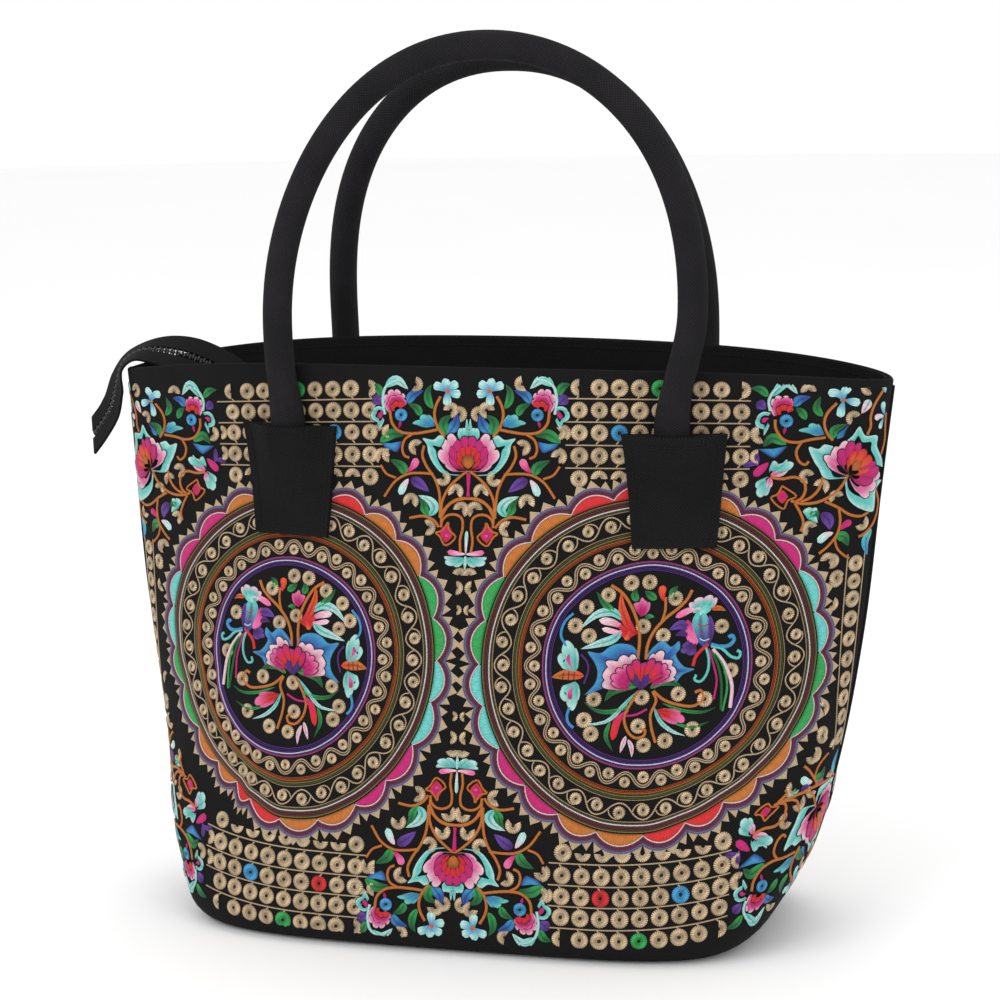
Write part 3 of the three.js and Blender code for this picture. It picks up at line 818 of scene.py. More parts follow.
def catmull_rom(points, steps):
    """A centripetal curve through points, sampled at even parameters."""
    points = np.asarray(points, float)
    rows = []
    for p in np.linspace(0, len(points) - 1, steps + 1):
        i = min(int(p), len(points) - 2)
        w = p - i
        p1, p2 = points[i], points[i + 1]
        p0 = points[i - 1] if i > 0 else 2 * points[0] - points[1]
        p3 = points[i + 2] if i + 2 < len(points) else 2 * points[-1] - points[-2]
        gaps = [math.sqrt(np.linalg.norm(b - a)) for a, b in ((p0, p1), (p1, p2), (p2, p3))]
        gaps[1] = gaps[1] if gaps[1] > 1e-2 else 1.0
        d0, d1, d2 = (gap if gap > 1e-2 else gaps[1] for gap in gaps)
        m1 = ((p1 - p0) / d0 - (p2 - p0) / (d0 + d1) + (p2 - p1) / d1) * d1
        m2 = ((p2 - p1) / d1 - (p3 - p1) / (d1 + d2) + (p3 - p2) / d2) * d1
        cubic = (2 * p1 - 2 * p2 + m1 + m2) * w**3 + (-3 * p1 + 3 * p2 - 2 * m1 - m2) * w**2
        rows.append(cubic + m1 * w + p1)
    return np.array(rows)


def zip_tail_line(steps=130):
    """Closed end of the zip: its middle, its direction and that of its width."""
    centres = np.stack([-MOUTH_LEFT * ZIP_TAIL[:, 0], 0 * ZIP_TAIL[:, 0],
                        BODY_HEIGHT - LEFT_RIM_DROOP + ZIP_TAIL[:, 1] * BODY_HEIGHT], -1)
    widths = unit(np.stack([ZIP_TAIL[:, 2], np.ones(len(ZIP_TAIL)), ZIP_TAIL[:, 3]], -1))
    centre = catmull_rom(centres, steps)
    return centre, unit(np.gradient(centre, axis=0)), unit(catmull_rom(widths, steps))


def zip_open_line(face, steps=130):
    """The open tape of one face, from the slider to its stop."""
    side = SIDE[face]
    start_x = -MOUTH_LEFT * ZIP_TAIL[0, 0]
    start_z = BODY_HEIGHT - LEFT_RIM_DROOP + ZIP_TAIL[0, 1] * BODY_HEIGHT
    level = BODY_HEIGHT - ZIP_DROP
    inset = WALL_THICKNESS + SEWN_GAP + FACING_THICKNESS + ZIP_CLEARANCE + ZIP_TAPE_THICKNESS / 2
    x = np.linspace(start_x, ZIP_RIGHT_STOP, steps + 1)
    leave = smoothstep((x - start_x) / ZIP_OPENING)
    near = ZIP_CHAIN_WIDTH / 2 + SEWN_GAP + ZIP_TAPE_WIDTH / 2
    wall = np.minimum.reduce([face_depth(face, x, level + h * ZIP_TAPE_WIDTH, inset)
                              for h in (-0.5, 0, 0.5)])
    centre = np.stack([x, side * lerp(near, wall, leave), lerp(start_z, level, leave)], -1)
    width = unit(np.stack([0 * x, side * (1 - leave), leave], -1))
    return centre, unit(np.gradient(centre, axis=0)), width


def strip_loops(line, start, stop, thickness):
    centre, along, across = line
    normal = unit(np.cross(along, across))
    corners = [(start, -0.5), (stop, -0.5), (stop, 0.5), (start, 0.5)]
    return np.stack([centre + across * a + normal * (b * thickness) for a, b in corners], 1)


def zip_tape_piece(face, material):
    side = SIDE[face]
    offset = ZIP_CHAIN_WIDTH / 2 + SEWN_GAP + ZIP_TAPE_WIDTH / 2
    centre, along, across = (part[:0:-1] for part in zip_tail_line())
    opened = zip_open_line(face)
    line = (np.concatenate([centre + across * side * offset, opened[0]]),
            np.concatenate([-along, opened[1]]),
            np.concatenate([across * side, opened[2]]))
    loops = strip_loops(line, -ZIP_TAPE_WIDTH / 2, ZIP_TAPE_WIDTH / 2, ZIP_TAPE_THICKNESS)
    points, faces = closed_loft(loops)
    return make_piece(f"zip_tape_{face}_cloth", points, faces, material,
                      [f"zip_tape_{face}"], uv=points[:, [0, 2]])


def open_teeth(face, pitch, material):
    """Single teeth of an open row, standing on the tape's upper edge."""
    centre, along, across = zip_open_line(face, 400)
    edge = -ZIP_TAPE_WIDTH / 2 - SEWN_GAP - ZIP_TEETH_WIDTH / 2
    flat = across[:, 2] > 0.8
    line = (centre + across * edge)[flat]
    places, _, up = spaced(line, across[flat], pitch)
    along_there = spaced(line, unit(np.cross(along, across))[flat], pitch)[2]
    points, faces, uv = beads(places, up, along_there, (ZIP_TEETH_WIDTH, pitch * 0.55, ZIP_TEETH_WIDTH * 0.96), 3.4)
    return make_piece(f"zip_teeth_{face}_row", points, faces, material,
                      [f"zip_teeth_{face}"], uv=uv, sharp=0)


def closed_teeth(pitch, material):
    """Teeth of both tapes, one after the other, locked together down the closed end."""
    centre, along, across = zip_tail_line(400)
    normal = unit(np.cross(along, across))
    places, ahead, up = spaced(centre, normal, pitch)
    aside = spaced(centre, across, pitch)[2]
    lean = np.where(np.arange(len(places)) % 2, 1, -1)[:, None] * aside
    places = places + lean * 0.55
    points, faces, uv = beads(places, aside, up, (ZIP_CHAIN_WIDTH - 1.2, pitch * 0.8, ZIP_CHAIN_THICKNESS * 0.96), 3.0)
    return make_piece("zip_chain_teeth", points, faces, material, ["zip_chain"], uv=uv, sharp=0)


def camera_matrix(azimuth, dip, roll, place):
    right = np.array([math.cos(azimuth), math.sin(azimuth), 0])
    up = np.array([-math.sin(azimuth) * math.sin(dip), math.cos(azimuth) * math.sin(dip), math.cos(dip)])
    ahead = np.cross(up, right)
    x_axis = math.cos(roll) * right - math.sin(roll) * up
    y_axis = math.sin(roll) * right + math.cos(roll) * up
    columns = [x_axis, y_axis, -ahead, np.asarray(place)]
    rows = np.array(columns).T.tolist()
    return Matrix(rows + [[0, 0, 0, 1]])


# Embroidery

THREAD_WIDTH = 0.7

# Thread colours as they look on a screen, from 0 to 255
THREADS = {
    "tan": (200, 174, 138), "dull_tan": (150, 126, 94), "cream": (222, 202, 174), "hole": (52, 36, 26),
    "ochre": (196, 112, 38), "ochre_deep": (140, 72, 16), "orange": (228, 84, 34), "rust": (168, 62, 26),
    "magenta": (198, 24, 112), "pink": (238, 112, 168), "blush": (242, 202, 214),
    "red": (216, 36, 40), "aqua": (104, 204, 196), "ice": (180, 230, 222),
    "sky": (60, 150, 202), "blue_deep": (34, 78, 158), "green": (44, 160, 78),
    "green_deep": (14, 94, 46), "purple": (74, 30, 112), "violet": (104, 62, 160),
    "white": (222, 212, 212), "olive": (112, 116, 58), "moss": (66, 76, 34), "maroon": (112, 34, 58),
    "slate": (112, 112, 146), "plum": (92, 62, 98), "brown": (84, 52, 32), "ink": (16, 12, 12),
    "lavender": (208, 198, 228), "navy": (52, 42, 104), "mauve": (150, 50, 108),
}

ROUNDEL_PLACE = (95.2, 151.5)
MIDDLE_HEIGHT = 151.5

# Rings of one roundel: radius and width in millimetres, colour
RINGS = (
    (48.5, 0.7, "purple"), (49.3, 0.6, "purple"), (50.1, 0.6, "navy"), (51.0, 0.8, "lavender"),
    (51.9, 0.6, "navy"), (52.6, 1.0, "mauve"),
    (63.4, 0.5, "ochre_deep"), (64.1, 0.6, "rust"), (64.8, 0.5, "ochre"), (65.4, 0.5, "brown"),
    (66.1, 0.8, "olive"), (67.0, 0.7, "moss"), (67.9, 0.6, "dull_tan"),
    (78.4, 0.7, "dull_tan"), (79.2, 0.5, "moss"), (80.0, 0.8, "white"), (80.9, 0.7, "brown"),
    (81.7, 0.7, "maroon"), (82.5, 0.7, "brown"), (83.2, 0.7, "olive"),
)
WAVE_RADIUS = 58.1
VINE_RADIUS = 73.4
SCALLOPS = ("ochre", "ochre", "magenta", "magenta", "aqua", "aqua",
            "green", "green", "ochre", "ochre", "red", "red") * 2
SCALLOP_START = 7.5
SCALLOP_BASE = 84.1
SCALLOP_FOOT = 85.0
SCALLOP_RISE = 5.2
OUTLINES = ((0.0, 0.75, "white"), (0.85, 0.8, "maroon"), (1.6, 0.8, "maroon"), (2.35, 0.8, "plum"),
            (3.1, 0.8, "slate"), (3.75, 0.6, "slate"))

# The cloth is pulled out of true: how far the inner and outer rings lie from a circle, in
# millimetres, and how far they are turned, in degrees, at every 15 degrees clockwise from up
PULL = {
    1: ((-0.5, -0.7, -0.7, -0.1, -0.1, -0.1, 0.0, 0.3, -0.1, -1.1, -1.7, -2.0,
         -1.9, -1.1, -0.4, 0.0, 0.0, -0.1, 0.0, 0.5, 0.9, 0.1, -0.5, -0.9),
        (-0.2, 0.0, 1.1, 2.0, 2.4, 2.6, 3.6, 3.0, 0.1, -3.3, -4.9, -3.9,
         -1.2, 0.2, 0.3, 0.0, 0.2, 0.1, 0.2, 0.8, 1.6, 1.5, 0.8, 0.1),
        (0.5, 0.5, 0.0, -0.5, -1.7, -0.7, -1.3, -2.5, -2.5, -0.5, -1.2, -1.2,
         -1.2, 0.0, -0.5, -0.5, 0.0, 0.7, 0.0, 0.0, 0.5, 0.0, 1.0, 1.0)),
    -1: ((-2.6, -2.1, -2.2, -2.2, -2.7, -3.2, -2.7, -2.6, -0.1, 1.5, 2.8, 3.1,
          2.3, 1.1, -0.5, -2.0, -3.1, -3.5, -3.6, -3.7, -3.6, -3.7, -3.9, -3.6),
         (-2.0, -1.0, -1.3, -1.5, -1.0, -1.6, -3.8, -7.3, -8.1, -7.3, -6.1, -2.3,
          2.5, 2.8, 1.1, -0.7, -2.2, -2.7, -2.6, -2.4, -1.8, -1.5, -1.5, -1.4),
         (0.8, 1.2, 1.2, 2.5, 3.7, 3.7, 5.0, 5.0, 8.7, 10.5, 7.5, 0.5,
          -1.2, -1.7, -1.7, -2.5, -1.2, 0.7, 0.7, 0.7, 1.2, 1.7, 1.5, 0.8)),
}
PULL_RADII = (51.0, 80.0)


def thread(name):
    """A thread colour in linear values."""
    c = np.asarray(THREADS[name], float) / 255
    return np.where(c <= 0.04045, c / 12.92, ((c + 0.055) / 1.055) ** 2.4)


def askew(s, z):
    """The embroidery was worked before the cloth was cut, so its rows lie a little askew."""
    droop = 2.0e-4 * s**2 * np.maximum(0, (z - 151) / 125)
    return s + 0.021 * (z - 151), z + s * (0.010 + 0.00012 * (z - 151)) - droop


def smooth_line(points, steps):
    """A rounded line through a few points of the cloth."""
    points = np.asarray(points, float)
    if len(points) == 2:
        return lerp(points[0], points[1], np.linspace(0, 1, steps + 1)[:, None])
    return catmull_rom(points, steps)


class Threadwork:
    """Gathers stitched shapes of one wall as grids of points and makes them one mesh."""

    def __init__(self, face, seed=1):
        self.face = face
        self.skin = SKINS[face]
        self.chance = np.random.default_rng(seed)
        self.parts = []

    def add(self, s, z, lift, u, v, colour, slit=0.5):
        """Grids of shapes, rows and columns; colour has three values more at its end, slit tells
        how dark the painted shade in the gaps between the threads is."""
        shape = np.broadcast_shapes(s.shape, np.shape(lift), np.shape(u), np.shape(v))
        s, z, lift, u, v = (np.broadcast_to(a, shape) for a in (s, z, lift, u, v))
        colour = np.concatenate([np.broadcast_to(colour, shape + (3,)),
                                 np.broadcast_to(slit, shape)[..., None]], -1)
        quads = grid_quads(shape[1], shape[2])
        faces = quads[None] + (np.arange(shape[0]) * shape[1] * shape[2])[:, None, None]
        flat = np.stack([s, z], -1).reshape(-1, 2)
        one, two = flat[faces[..., 2]] - flat[faces[..., 0]], flat[faces[..., 3]] - flat[faces[..., 1]]
        area = (one[..., 0] * two[..., 1] - one[..., 1] * two[..., 0]).sum(1) * -SIDE[self.face]
        faces = np.where(area[:, None, None] < 0, faces[..., ::-1], faces)
        self.parts.append((s.ravel(), z.ravel(), lift.ravel(), u.ravel(), v.ravel(),
                           colour.reshape(-1, 4), faces.reshape(-1, 4)))

    def ribbon(self, lines, width, colour, level=0.1, height=0.4, grain=0.7, columns=5, slit=0.6):
        """A cord or stem along lines of shape (lines, points, 2)."""
        lines = np.asarray(lines, float)
        if lines.ndim == 2:
            lines = lines[None]
        ahead = unit(np.gradient(lines, axis=1))
        aside = np.stack([-ahead[..., 1], ahead[..., 0]], -1)
        across = np.linspace(-1, 1, columns)
        points = lines[:, :, None] + aside[:, :, None] * (across * width / 2)[None, None, :, None]
        gaps = np.linalg.norm(np.diff(lines, axis=1), axis=-1)
        run = np.concatenate([np.zeros((len(lines), 1)), np.cumsum(gaps, 1)], 1)[..., None]
        lift = level + height * np.sqrt(1 - across**2)
        # painted shade: the cord darkens towards its rounded sides
        shade = thread(colour) * (1 - 0.45 * np.abs(across) ** 3)[:, None]
        self.add(points[..., 0], points[..., 1], lift, across * width / 2,
                 (run + across * width * 0.6) * grain, shade, slit)

    def blade(self, spines, width, profile, root, tip, level=0.1, height=0.5, columns=7, rows=11):
        """A leaf, petal or tooth along spines of shape (shapes, points, 2)."""
        spines = np.asarray(spines, float)
        t = np.linspace(0, 1, spines.shape[1])
        spread = {"leaf": np.sin(np.pi * t**0.8) ** 0.8,
                  "petal": t**0.55 * np.sqrt(np.maximum(0, 1 - t**5)),
                  "tooth": 1 - t}[profile]
        ahead = unit(np.gradient(spines, axis=1))
        aside = np.stack([-ahead[..., 1], ahead[..., 0]], -1)
        across = np.linspace(-1, 1, columns)
        half = np.maximum(spread * width / 2, 0.02)[:, None] * across
        points = spines[:, :, None] + aside[:, :, None] * half[None, ..., None]
        gaps = np.linalg.norm(np.diff(spines, axis=1), axis=-1)
        run = np.concatenate([np.zeros((len(spines), 1)), np.cumsum(gaps, 1)], 1)[..., None]
        lift = level + height * np.sqrt(1 - across**2) * np.sqrt(spread)[:, None]
        shade = lerp(thread(root), thread(tip), smoothstep(t * 1.15)[:, None])[:, None]
        if profile == "leaf":
            # painted shade: darker in the groove along the mid-rib
            groove_shade = 1 - 0.6 * np.exp(-(across / 0.16) ** 2)
            lift = lift - 0.25 * np.exp(-(across / 0.22) ** 2) * spread[:, None]
            shade = shade * groove_shade[None, :, None]
            u, v = run + np.abs(half), (run - np.abs(half)) * 0.9
        else:
            shade = shade + np.zeros((columns, 3))
            u, v = run + 0 * half, half + 0 * run
        self.add(points[..., 0], points[..., 1], lift, u, v, shade[None], 0.6)

    def fan(self, roots, edges, lobes, start, root, tip, level=0.1, height=0.3):
        """A petal spread from roots (shapes, 2) to edges (shapes, points, 2)."""
        t = np.linspace(0, 1, edges.shape[1])
        bite = 1 - 0.13 * (1 - np.abs(np.sin(np.pi * lobes * t)) ** 0.6) if lobes else 1 + 0 * t
        r = start + (1 - start) * np.array([0, 0.2, 0.45, 0.7, 0.88, 0.96, 1.0])
        reach = edges - roots[:, None]
        points = roots[:, None, None] + reach[:, None] * (r[:, None] * bite)[None, ..., None]
        dome = np.array([0.6, 0.8, 0.95, 1.0, 0.85, 0.5, 0.0])
        length = np.linalg.norm(reach, axis=-1)
        gaps = np.linalg.norm(np.diff(edges, axis=1), axis=-1)
        run = np.concatenate([np.zeros((len(edges), 1)), np.cumsum(gaps, 1)], 1)
        valley = (1 - 0.7 * (1 - np.abs(np.sin(np.pi * lobes * t)) ** 0.5)) if lobes else 1 + 0 * t
        lift = level + height * dome[:, None] * valley[None]
        ramp = smoothstep((r - start) / (1 - start) * 1.9 - 0.85)
        # painted shade: the colour darkens in the valleys between the lobes
        shade = lerp(thread(root), thread(tip), ramp[:, None])[:, None] * (0.55 + 0.45 * valley)[:, None]
        self.add(points[..., 0], points[..., 1], lift[None], length[:, None] * r[:, None],
                 run[:, None] * 1.1 + 0 * r[:, None], shade[None], 0.62)
        # a near-black ribbon just under each fan's edge: painted shade that the raised edge casts on the layer below,
        # also standing for the black ground seen between layers
        outer = roots[:, None] + reach * bite[None, :, None]
        self.ribbon(outer, 0.8, "ink", level=level - 0.02, height=0.1, columns=3, slit=0)

    def rosettes(self, centres, diameter, start=0.0, sweep=360.0, colour="tan", level=0.08):
        """Rings of radial stitches round a hole; start and sweep in degrees."""
        centres = np.asarray(centres, float).reshape(-1, 2)
        n = len(centres)
        steps = 20
        start = np.broadcast_to(np.asarray(start, float), n).copy()
        sweep = np.broadcast_to(np.asarray(sweep, float), n)
        turned = self.chance.uniform(0, 360, n)
        start = np.where(sweep >= 359, turned, start)
        angle = np.radians(start[:, None] + sweep[:, None] * np.linspace(0, 1, steps + 1))[:, None]
        #        radius, lift, tone, slit; the tone is painted highlight and painted shade of the domed ring, near black
        #        in the hole
        ring = np.array([(0.03, 0.00, 0.04, 0.0), (0.20, 0.00, 0.05, 0.0), (0.27, 0.50, 0.80, 0.50),
                         (0.42, 0.60, 0.60, 0.85), (0.66, 0.85, 1.06, 0.75), (0.86, 0.60, 0.94, 1.00),
                         (1.00, 0.04, 0.50, 1.00)])
        size = diameter / 2 * self.chance.uniform(0.96, 1.04, n)[:, None, None]
        radius = ring[:, 0][:, None] * size
        s = centres[:, 0][:, None, None] + radius * np.cos(angle)
        z = centres[:, 1][:, None, None] + radius * np.sin(angle)
        worn = self.chance.uniform(0.84, 1.06, n)[:, None, None]
        sheen = 1 + 0.2 * np.cos(2 * (angle - np.radians(self.chance.uniform(110, 190, n))[:, None, None]))
        shade = (thread(colour) * 1.08) * (ring[:, 2][:, None] * worn * sheen)[..., None]
        stitches = round(2.6 * diameter)
        around = angle / (2 * np.pi) * stitches * THREAD_WIDTH
        self.add(s, z, level + 0.62 * ring[:, 1][:, None] + 0 * s, radius + 0 * s, around + 0 * s, shade,
                 ring[:, 3][:, None])

    def piece(self, name, material, low=8.0, high=2.6):
        """The gathered shapes as one mesh, cut off at the seams, the rim band and the base."""
        counts = np.cumsum([0] + [len(part[0]) for part in self.parts])
        s, z, lift, u, v = (np.concatenate([part[k] for part in self.parts]) for k in range(5))
        colour = np.concatenate([part[5] for part in self.parts])
        faces = np.concatenate([part[6] + first for part, first in zip(self.parts, counts)])
        s, z = askew(s, z)
        share = z / self.skin.rim(s)
        inside = (s > self.skin.seam(share, 0) + 0.6) & (s < self.skin.seam(share, 1) - 0.6)
        inside &= (z > low) & (z < self.skin.rim(s) - high)
        faces = faces[inside[faces].all(1)]
        used, flat = np.unique(faces, return_inverse=True)
        points = self.skin.place(s[used], z[used], lift[used])
        return make_piece(name, points, flat.reshape(-1, 4).tolist(), material,
                          uv=np.stack([u[used], v[used]], -1), colour=colour[used], sharp=0)


def sunk(points):
    """Points of the pattern where the standing cloth has them: its lowest part is drawn up at the sides."""
    s, z = points[..., 0], points[..., 1]
    low = smoothstep((-z - 60) / 30)
    right = 7 * np.clip((s - 70) / 70, 0, 1.6) ** 2
    left = 4 * np.clip((-s - 80) / 52, 0, 1.8) ** 2 - 3 * smoothstep(-s / 45)
    rise = low * (right + left) + 2.5 * smoothstep((-z - 99) / 35)
    return np.stack([s, z + rise + MIDDLE_HEIGHT], -1)


def four_ways(points):
    """The same points right and left, above and below the middle."""
    points = np.asarray(points, float)
    return np.stack([sunk(points * mirror) for mirror in ((1, 1), (-1, 1), (1, -1), (-1, -1))])


def pulled(points, side):
    """Points of a roundel where the pulled cloth has them."""
    radius = np.maximum(np.linalg.norm(points, axis=-1), 1e-6)
    angle = np.degrees(np.arctan2(points[..., 0], points[..., 1]))
    inner, outer, turn = (np.array(row) for row in PULL[side])
    k = np.mod(angle, 360) / 15
    first = k.astype(int) % 24
    ease = smoothstep(k - np.floor(k))
    inner, outer, turn = (lerp(row[first], row[(first + 1) % 24], lerp(k - np.floor(k), ease, 0.5))
                          for row in (inner, outer, turn))
    share = (radius - PULL_RADII[0]) / (PULL_RADII[1] - PULL_RADII[0])
    out = np.where(share < 0, inner * (radius / PULL_RADII[0]) ** 2, lerp(inner, outer, np.clip(share, 0, 1.2)))
    angle = np.radians(angle + turn * np.clip(share, 0, 1))
    return (radius + out)[..., None] * np.stack([np.sin(angle), np.cos(angle)], -1)


def two_roundels(points):
    """The same points in the right roundel and, turned over, in the left one."""
    points = np.asarray(points, float)
    return np.stack([pulled(points, 1) + ROUNDEL_PLACE,
                     pulled(points, -1) * (-1, 1) + (-ROUNDEL_PLACE[0], ROUNDEL_PLACE[1])])


def motif(work, rows, places):
    """Stems, leaves, petals and fans of one drawing, at all its places."""
    layer = 0
    for number, row in enumerate(rows):
        kind = row[0]
        points = np.asarray(row[-1], float).reshape(-1, 2)
        nudge = 0.013 * (number % 7)
        layer = layer + 1 if kind == "fan" else 0
        if kind == "stem":
            length = np.linalg.norm(np.diff(points, axis=0), axis=1).sum()
            line = smooth_line(points, max(8, int(length / 1.4)))
            work.ribbon(places(line), row[2] * 0.85, row[1], level=0.22 + nudge, height=0.5, grain=0.75)
        elif kind in ("leaf", "petal"):
            work.blade(places(smooth_line(points, 10)), row[3], kind, row[1], row[2],
                       level=0.14 + nudge, height=0.5)
        else:
            edge = smooth_line(points[1:], 6 * (len(points) - 2))
            work.fan(places(points[:1])[:, 0], places(edge), row[3], row[4], row[1], row[2],
                     level=0.1 + 0.19 * min(layer, 7) + nudge * 0.3)


def polar(radius, angle):
    """Points at radii and angles clockwise from up."""
    return np.stack([radius * np.sin(angle), radius * np.cos(angle)], -1)


def scallop_line(angle, offset):
    """The scalloped edge of a roundel, at an offset outwards; the angle runs clockwise from up."""
    t = np.mod((np.degrees(angle) - SCALLOP_START) / 15 + 0.5, 1) * 2 - 1
    return polar(SCALLOP_FOOT + offset * (1.25 - 0.25 * (1 - t**2)) + SCALLOP_RISE * (1 - t**2), angle)


def soft_wave(angle):
    """A wave of twenty turns round a roundel, fuller than a cosine."""
    wave = np.cos(20 * angle)
    return np.sign(wave) * np.abs(wave) ** 0.8


def roundel_rings(work):
    turn = np.linspace(0, 2 * np.pi, 181)
    for radius, width, colour in RINGS:
        work.ribbon(two_roundels(polar(radius + 0 * turn, turn)), width, colour, columns=4)
    angle = np.linspace(0, 2 * np.pi, 321)
    # inner band: a double wave between rosettes
    wave = polar(WAVE_RADIUS + 3.2 * soft_wave(angle), angle)
    ahead = unit(np.gradient(wave, axis=0))
    for shift in (-0.52, 0.52):
        line = wave + np.stack([-ahead[:, 1], ahead[:, 0]], -1) * shift
        work.ribbon(two_roundels(line), 0.68, "tan", columns=3)
    # outer band: a vine that goes over one rosette and under the next
    work.ribbon(two_roundels(polar(VINE_RADIUS + 3.85 * soft_wave(angle), angle)), 0.8, "tan", columns=3)
    for k in range(40):
        middle = 2 * np.pi * k / 40
        # the hook starts where the vine crosses and curls over the rosette's free side
        side = 1 if k % 2 else -1
        turn = np.linspace(1.57, -0.2, 12)
        reach = np.linspace(5.2, 3.5, 12)
        radius = VINE_RADIUS + side * reach * np.cos(turn)
        work.ribbon(two_roundels(polar(radius, middle + reach * np.sin(turn) / VINE_RADIUS)), 0.7, "tan", columns=3)


def roundel_edge(work):
    steps = 12
    for k, colour in enumerate(SCALLOPS):
        middle = math.radians(SCALLOP_START + 15 * k)
        angle = middle + math.radians(7.3) * np.linspace(-1, 1, steps + 1)
        outer = scallop_line(angle, -0.35)
        inner = polar(SCALLOP_BASE + 0 * angle, angle)
        t = np.array([0, 0.2, 0.5, 0.8, 1.0])
        grid = two_roundels(lerp(inner[None], outer[None], t[:, None, None]))
        lift = 0.12 + 0.4 * np.sqrt(np.maximum(0, 1 - (2 * t - 1) ** 2))[:, None]
        run = np.linspace(0, 22, steps + 1)[None]
        # painted shade: darker at the scallop's low foot and towards its outer edge
        tone = np.array([0.35, 0.86, 1.0, 1.0, 0.75])[:, None, None]
        work.add(grid[..., 0], grid[..., 1], lift[None], (t * 5)[:, None] + 0 * run, run + 0 * t[:, None],
                 thread(colour) * tone, 0.5)
    angle = np.linspace(0, 2 * np.pi, 24 * 10 + 1) + math.radians(SCALLOP_START + 7.5)
    for offset, width, colour in OUTLINES:
        work.ribbon(two_roundels(scallop_line(angle, offset)), width, colour, columns=4, height=0.35)
    # four teeth stand on each scallop, the outer two leaning to its ends
    across = np.linspace(0, 1, 5)
    rise = np.linspace(0, 1, 5)[:, None]
    for first, last, tip, height in ((-7.3, -4.3, -6.3, 95.3), (-4.3, 0, -2.2, 97.7), (0, 4.3, 2.2, 97.7),
                                     (4.3, 7.3, 6.3, 95.3)):
        middle = np.radians(SCALLOP_START + 15 * np.arange(24))[:, None]
        foot = scallop_line(middle + np.radians(lerp(first, last, across)), 3.9)
        point = polar(height + 0 * middle, middle + math.radians(tip))
        grid = lerp(foot[:, None], point[:, None], rise[..., None])
        grid = np.concatenate(two_roundels(grid))
        lift = 0.1 + 0.45 * np.sqrt(1 - (2 * across - 1) ** 2) * (1 - 0.6 * rise)
        # painted shade: each tooth is darker at its foot
        shade = thread("tan") * (0.8 + 0.3 * rise * np.ones(5))[..., None]
        work.add(grid[..., 0], grid[..., 1], lift[None], 5 * rise + 0 * across, 5 * across * (1 - 0.5 * rise),
                 shade[None], 0.5)


def roundel_rosettes(work):
    for k in range(40):
        angle = 2 * np.pi * k / 40
        side = 1 if k % 2 else -1
        work.rosettes(two_roundels(polar(WAVE_RADIUS + side * 1.3, angle)), 5.8)
        work.rosettes(two_roundels(polar(VINE_RADIUS + side * 0.7, angle)), 6.2)
    for s, z in ROUNDEL_ROSETTES:
        work.rosettes(two_roundels([s, z]), 7.8)


BORDER_ROWS = (140.0, 128.6, 117.0, 105.2, 93.5)
BORDER_LINES = (134.4, 122.5, 110.6, 98.9)

# Border rosettes in other colours, by side, up or down, row and place in the row
TINTED = {
    (1, 1, 0, 4): "green", (-1, 1, 0, 4): "green", (1, 1, 2, 2): "sky", (-1, 1, 2, 2): "sky",
    (1, -1, 0, 4): "green", (-1, -1, 0, 4): "green", (1, -1, 2, 2): "red", (-1, -1, 2, 2): "red",
    (1, -1, 2, 6): "sky", (-1, -1, 2, 6): "sky",
}


def border_rows(work):
    """Rows of rosettes above and below each roundel, between thin lines."""
    for side in (1, -1):
        first, pitch = (56.7, 10.1) if side > 0 else (52.8, 9.95)
        for up in (1, -1):

            def place(s, height):
                return sunk(np.stack([side * np.asarray(s, float), up * height + 0 * np.asarray(s)], -1))

            for row, height in enumerate(BORDER_ROWS):
                for k in range(9):
                    s = first + pitch * k
                    colour = TINTED.get((side, up, row, k), "tan")
                    start, sweep, level = 0, 360, 0.08
                    if row == 4 and 0 < k < 8:
                        # the roundel's teeth leave room for half a rosette only
                        start, sweep, level = (0 if up > 0 else 180), 180, -0.15
                    if row == 0 and k in (0, 8):
                        start, sweep = (90 if (k == 0) == (side > 0) else -90), 180
                    work.rosettes(place(s, height), 8.9, start, sweep, colour, level)
                    if row < 4:
                        stalk = place(s - np.array([0.2, 1.6]), height - np.array([4.2, 5.8]))
                        work.ribbon(stalk, 0.8, "tan", columns=3)
                if row in (2, 3):
                    for s, opening in ((first - 10.4, -90), (first + pitch * 9 - 1.6, 90)):
                        start = opening if side > 0 else -opening
                        work.rosettes(place(s, height), 8.2, start, 180)
            for height in BORDER_LINES:
                work.ribbon(place(np.linspace(first - 7, 142, 60), height), 0.75, "tan", columns=3)


def side_columns(work):
    rows = np.array([47.7, 38, 28.4, 17.7, 6.8, -4.1, -14.6, -24.2, -34, -44.2])
    s = np.interp(rows, (-44, -24, -4, 18, 48), (206, 203.5, 202.5, 201.5, 201))
    for side in (-1, 1):
        work.rosettes(np.stack([s * side, MIDDLE_HEIGHT + rows], -1), 8.9)
        for shift in (-5.2, 5.2):
            height = np.linspace(-50, 53, 50)
            line = np.interp(height, rows[::-1], s[::-1]) + shift
            work.ribbon(np.stack([line * side, MIDDLE_HEIGHT + height], -1), 0.75, "tan", columns=3)
    for s, z, start, sweep in ((187.0, 50.0, 250, 250), (190.0, 40.0, 200, 220), (189.0, 27.0, 230, 200)):
        for place, turn in zip(four_ways([s, z]), (start, 180 - start - sweep, -start - sweep, 180 + start)):
            work.rosettes(place, 8.2, turn, sweep)


def middle_column(work):
    """Cut rosettes between the two roundels."""
    for s, z, size in ((3.9, 38.0, 7.0), (3.0, 27.0, 5.2)):
        for place, turn in zip(four_ways([s, z]), (90, -90, 90, -90)):
            work.rosettes(place, size, turn, 180, level=0.0)


def drawn_rosettes(work, rows):
    for s, z, start, sweep in rows:
        turns = (start, 180 - start - sweep, -start - sweep, 180 + start)
        for (x, y), turn in zip(four_ways([s, z]), turns):
            work.rosettes([(x, y)], 8.4, turn, sweep)
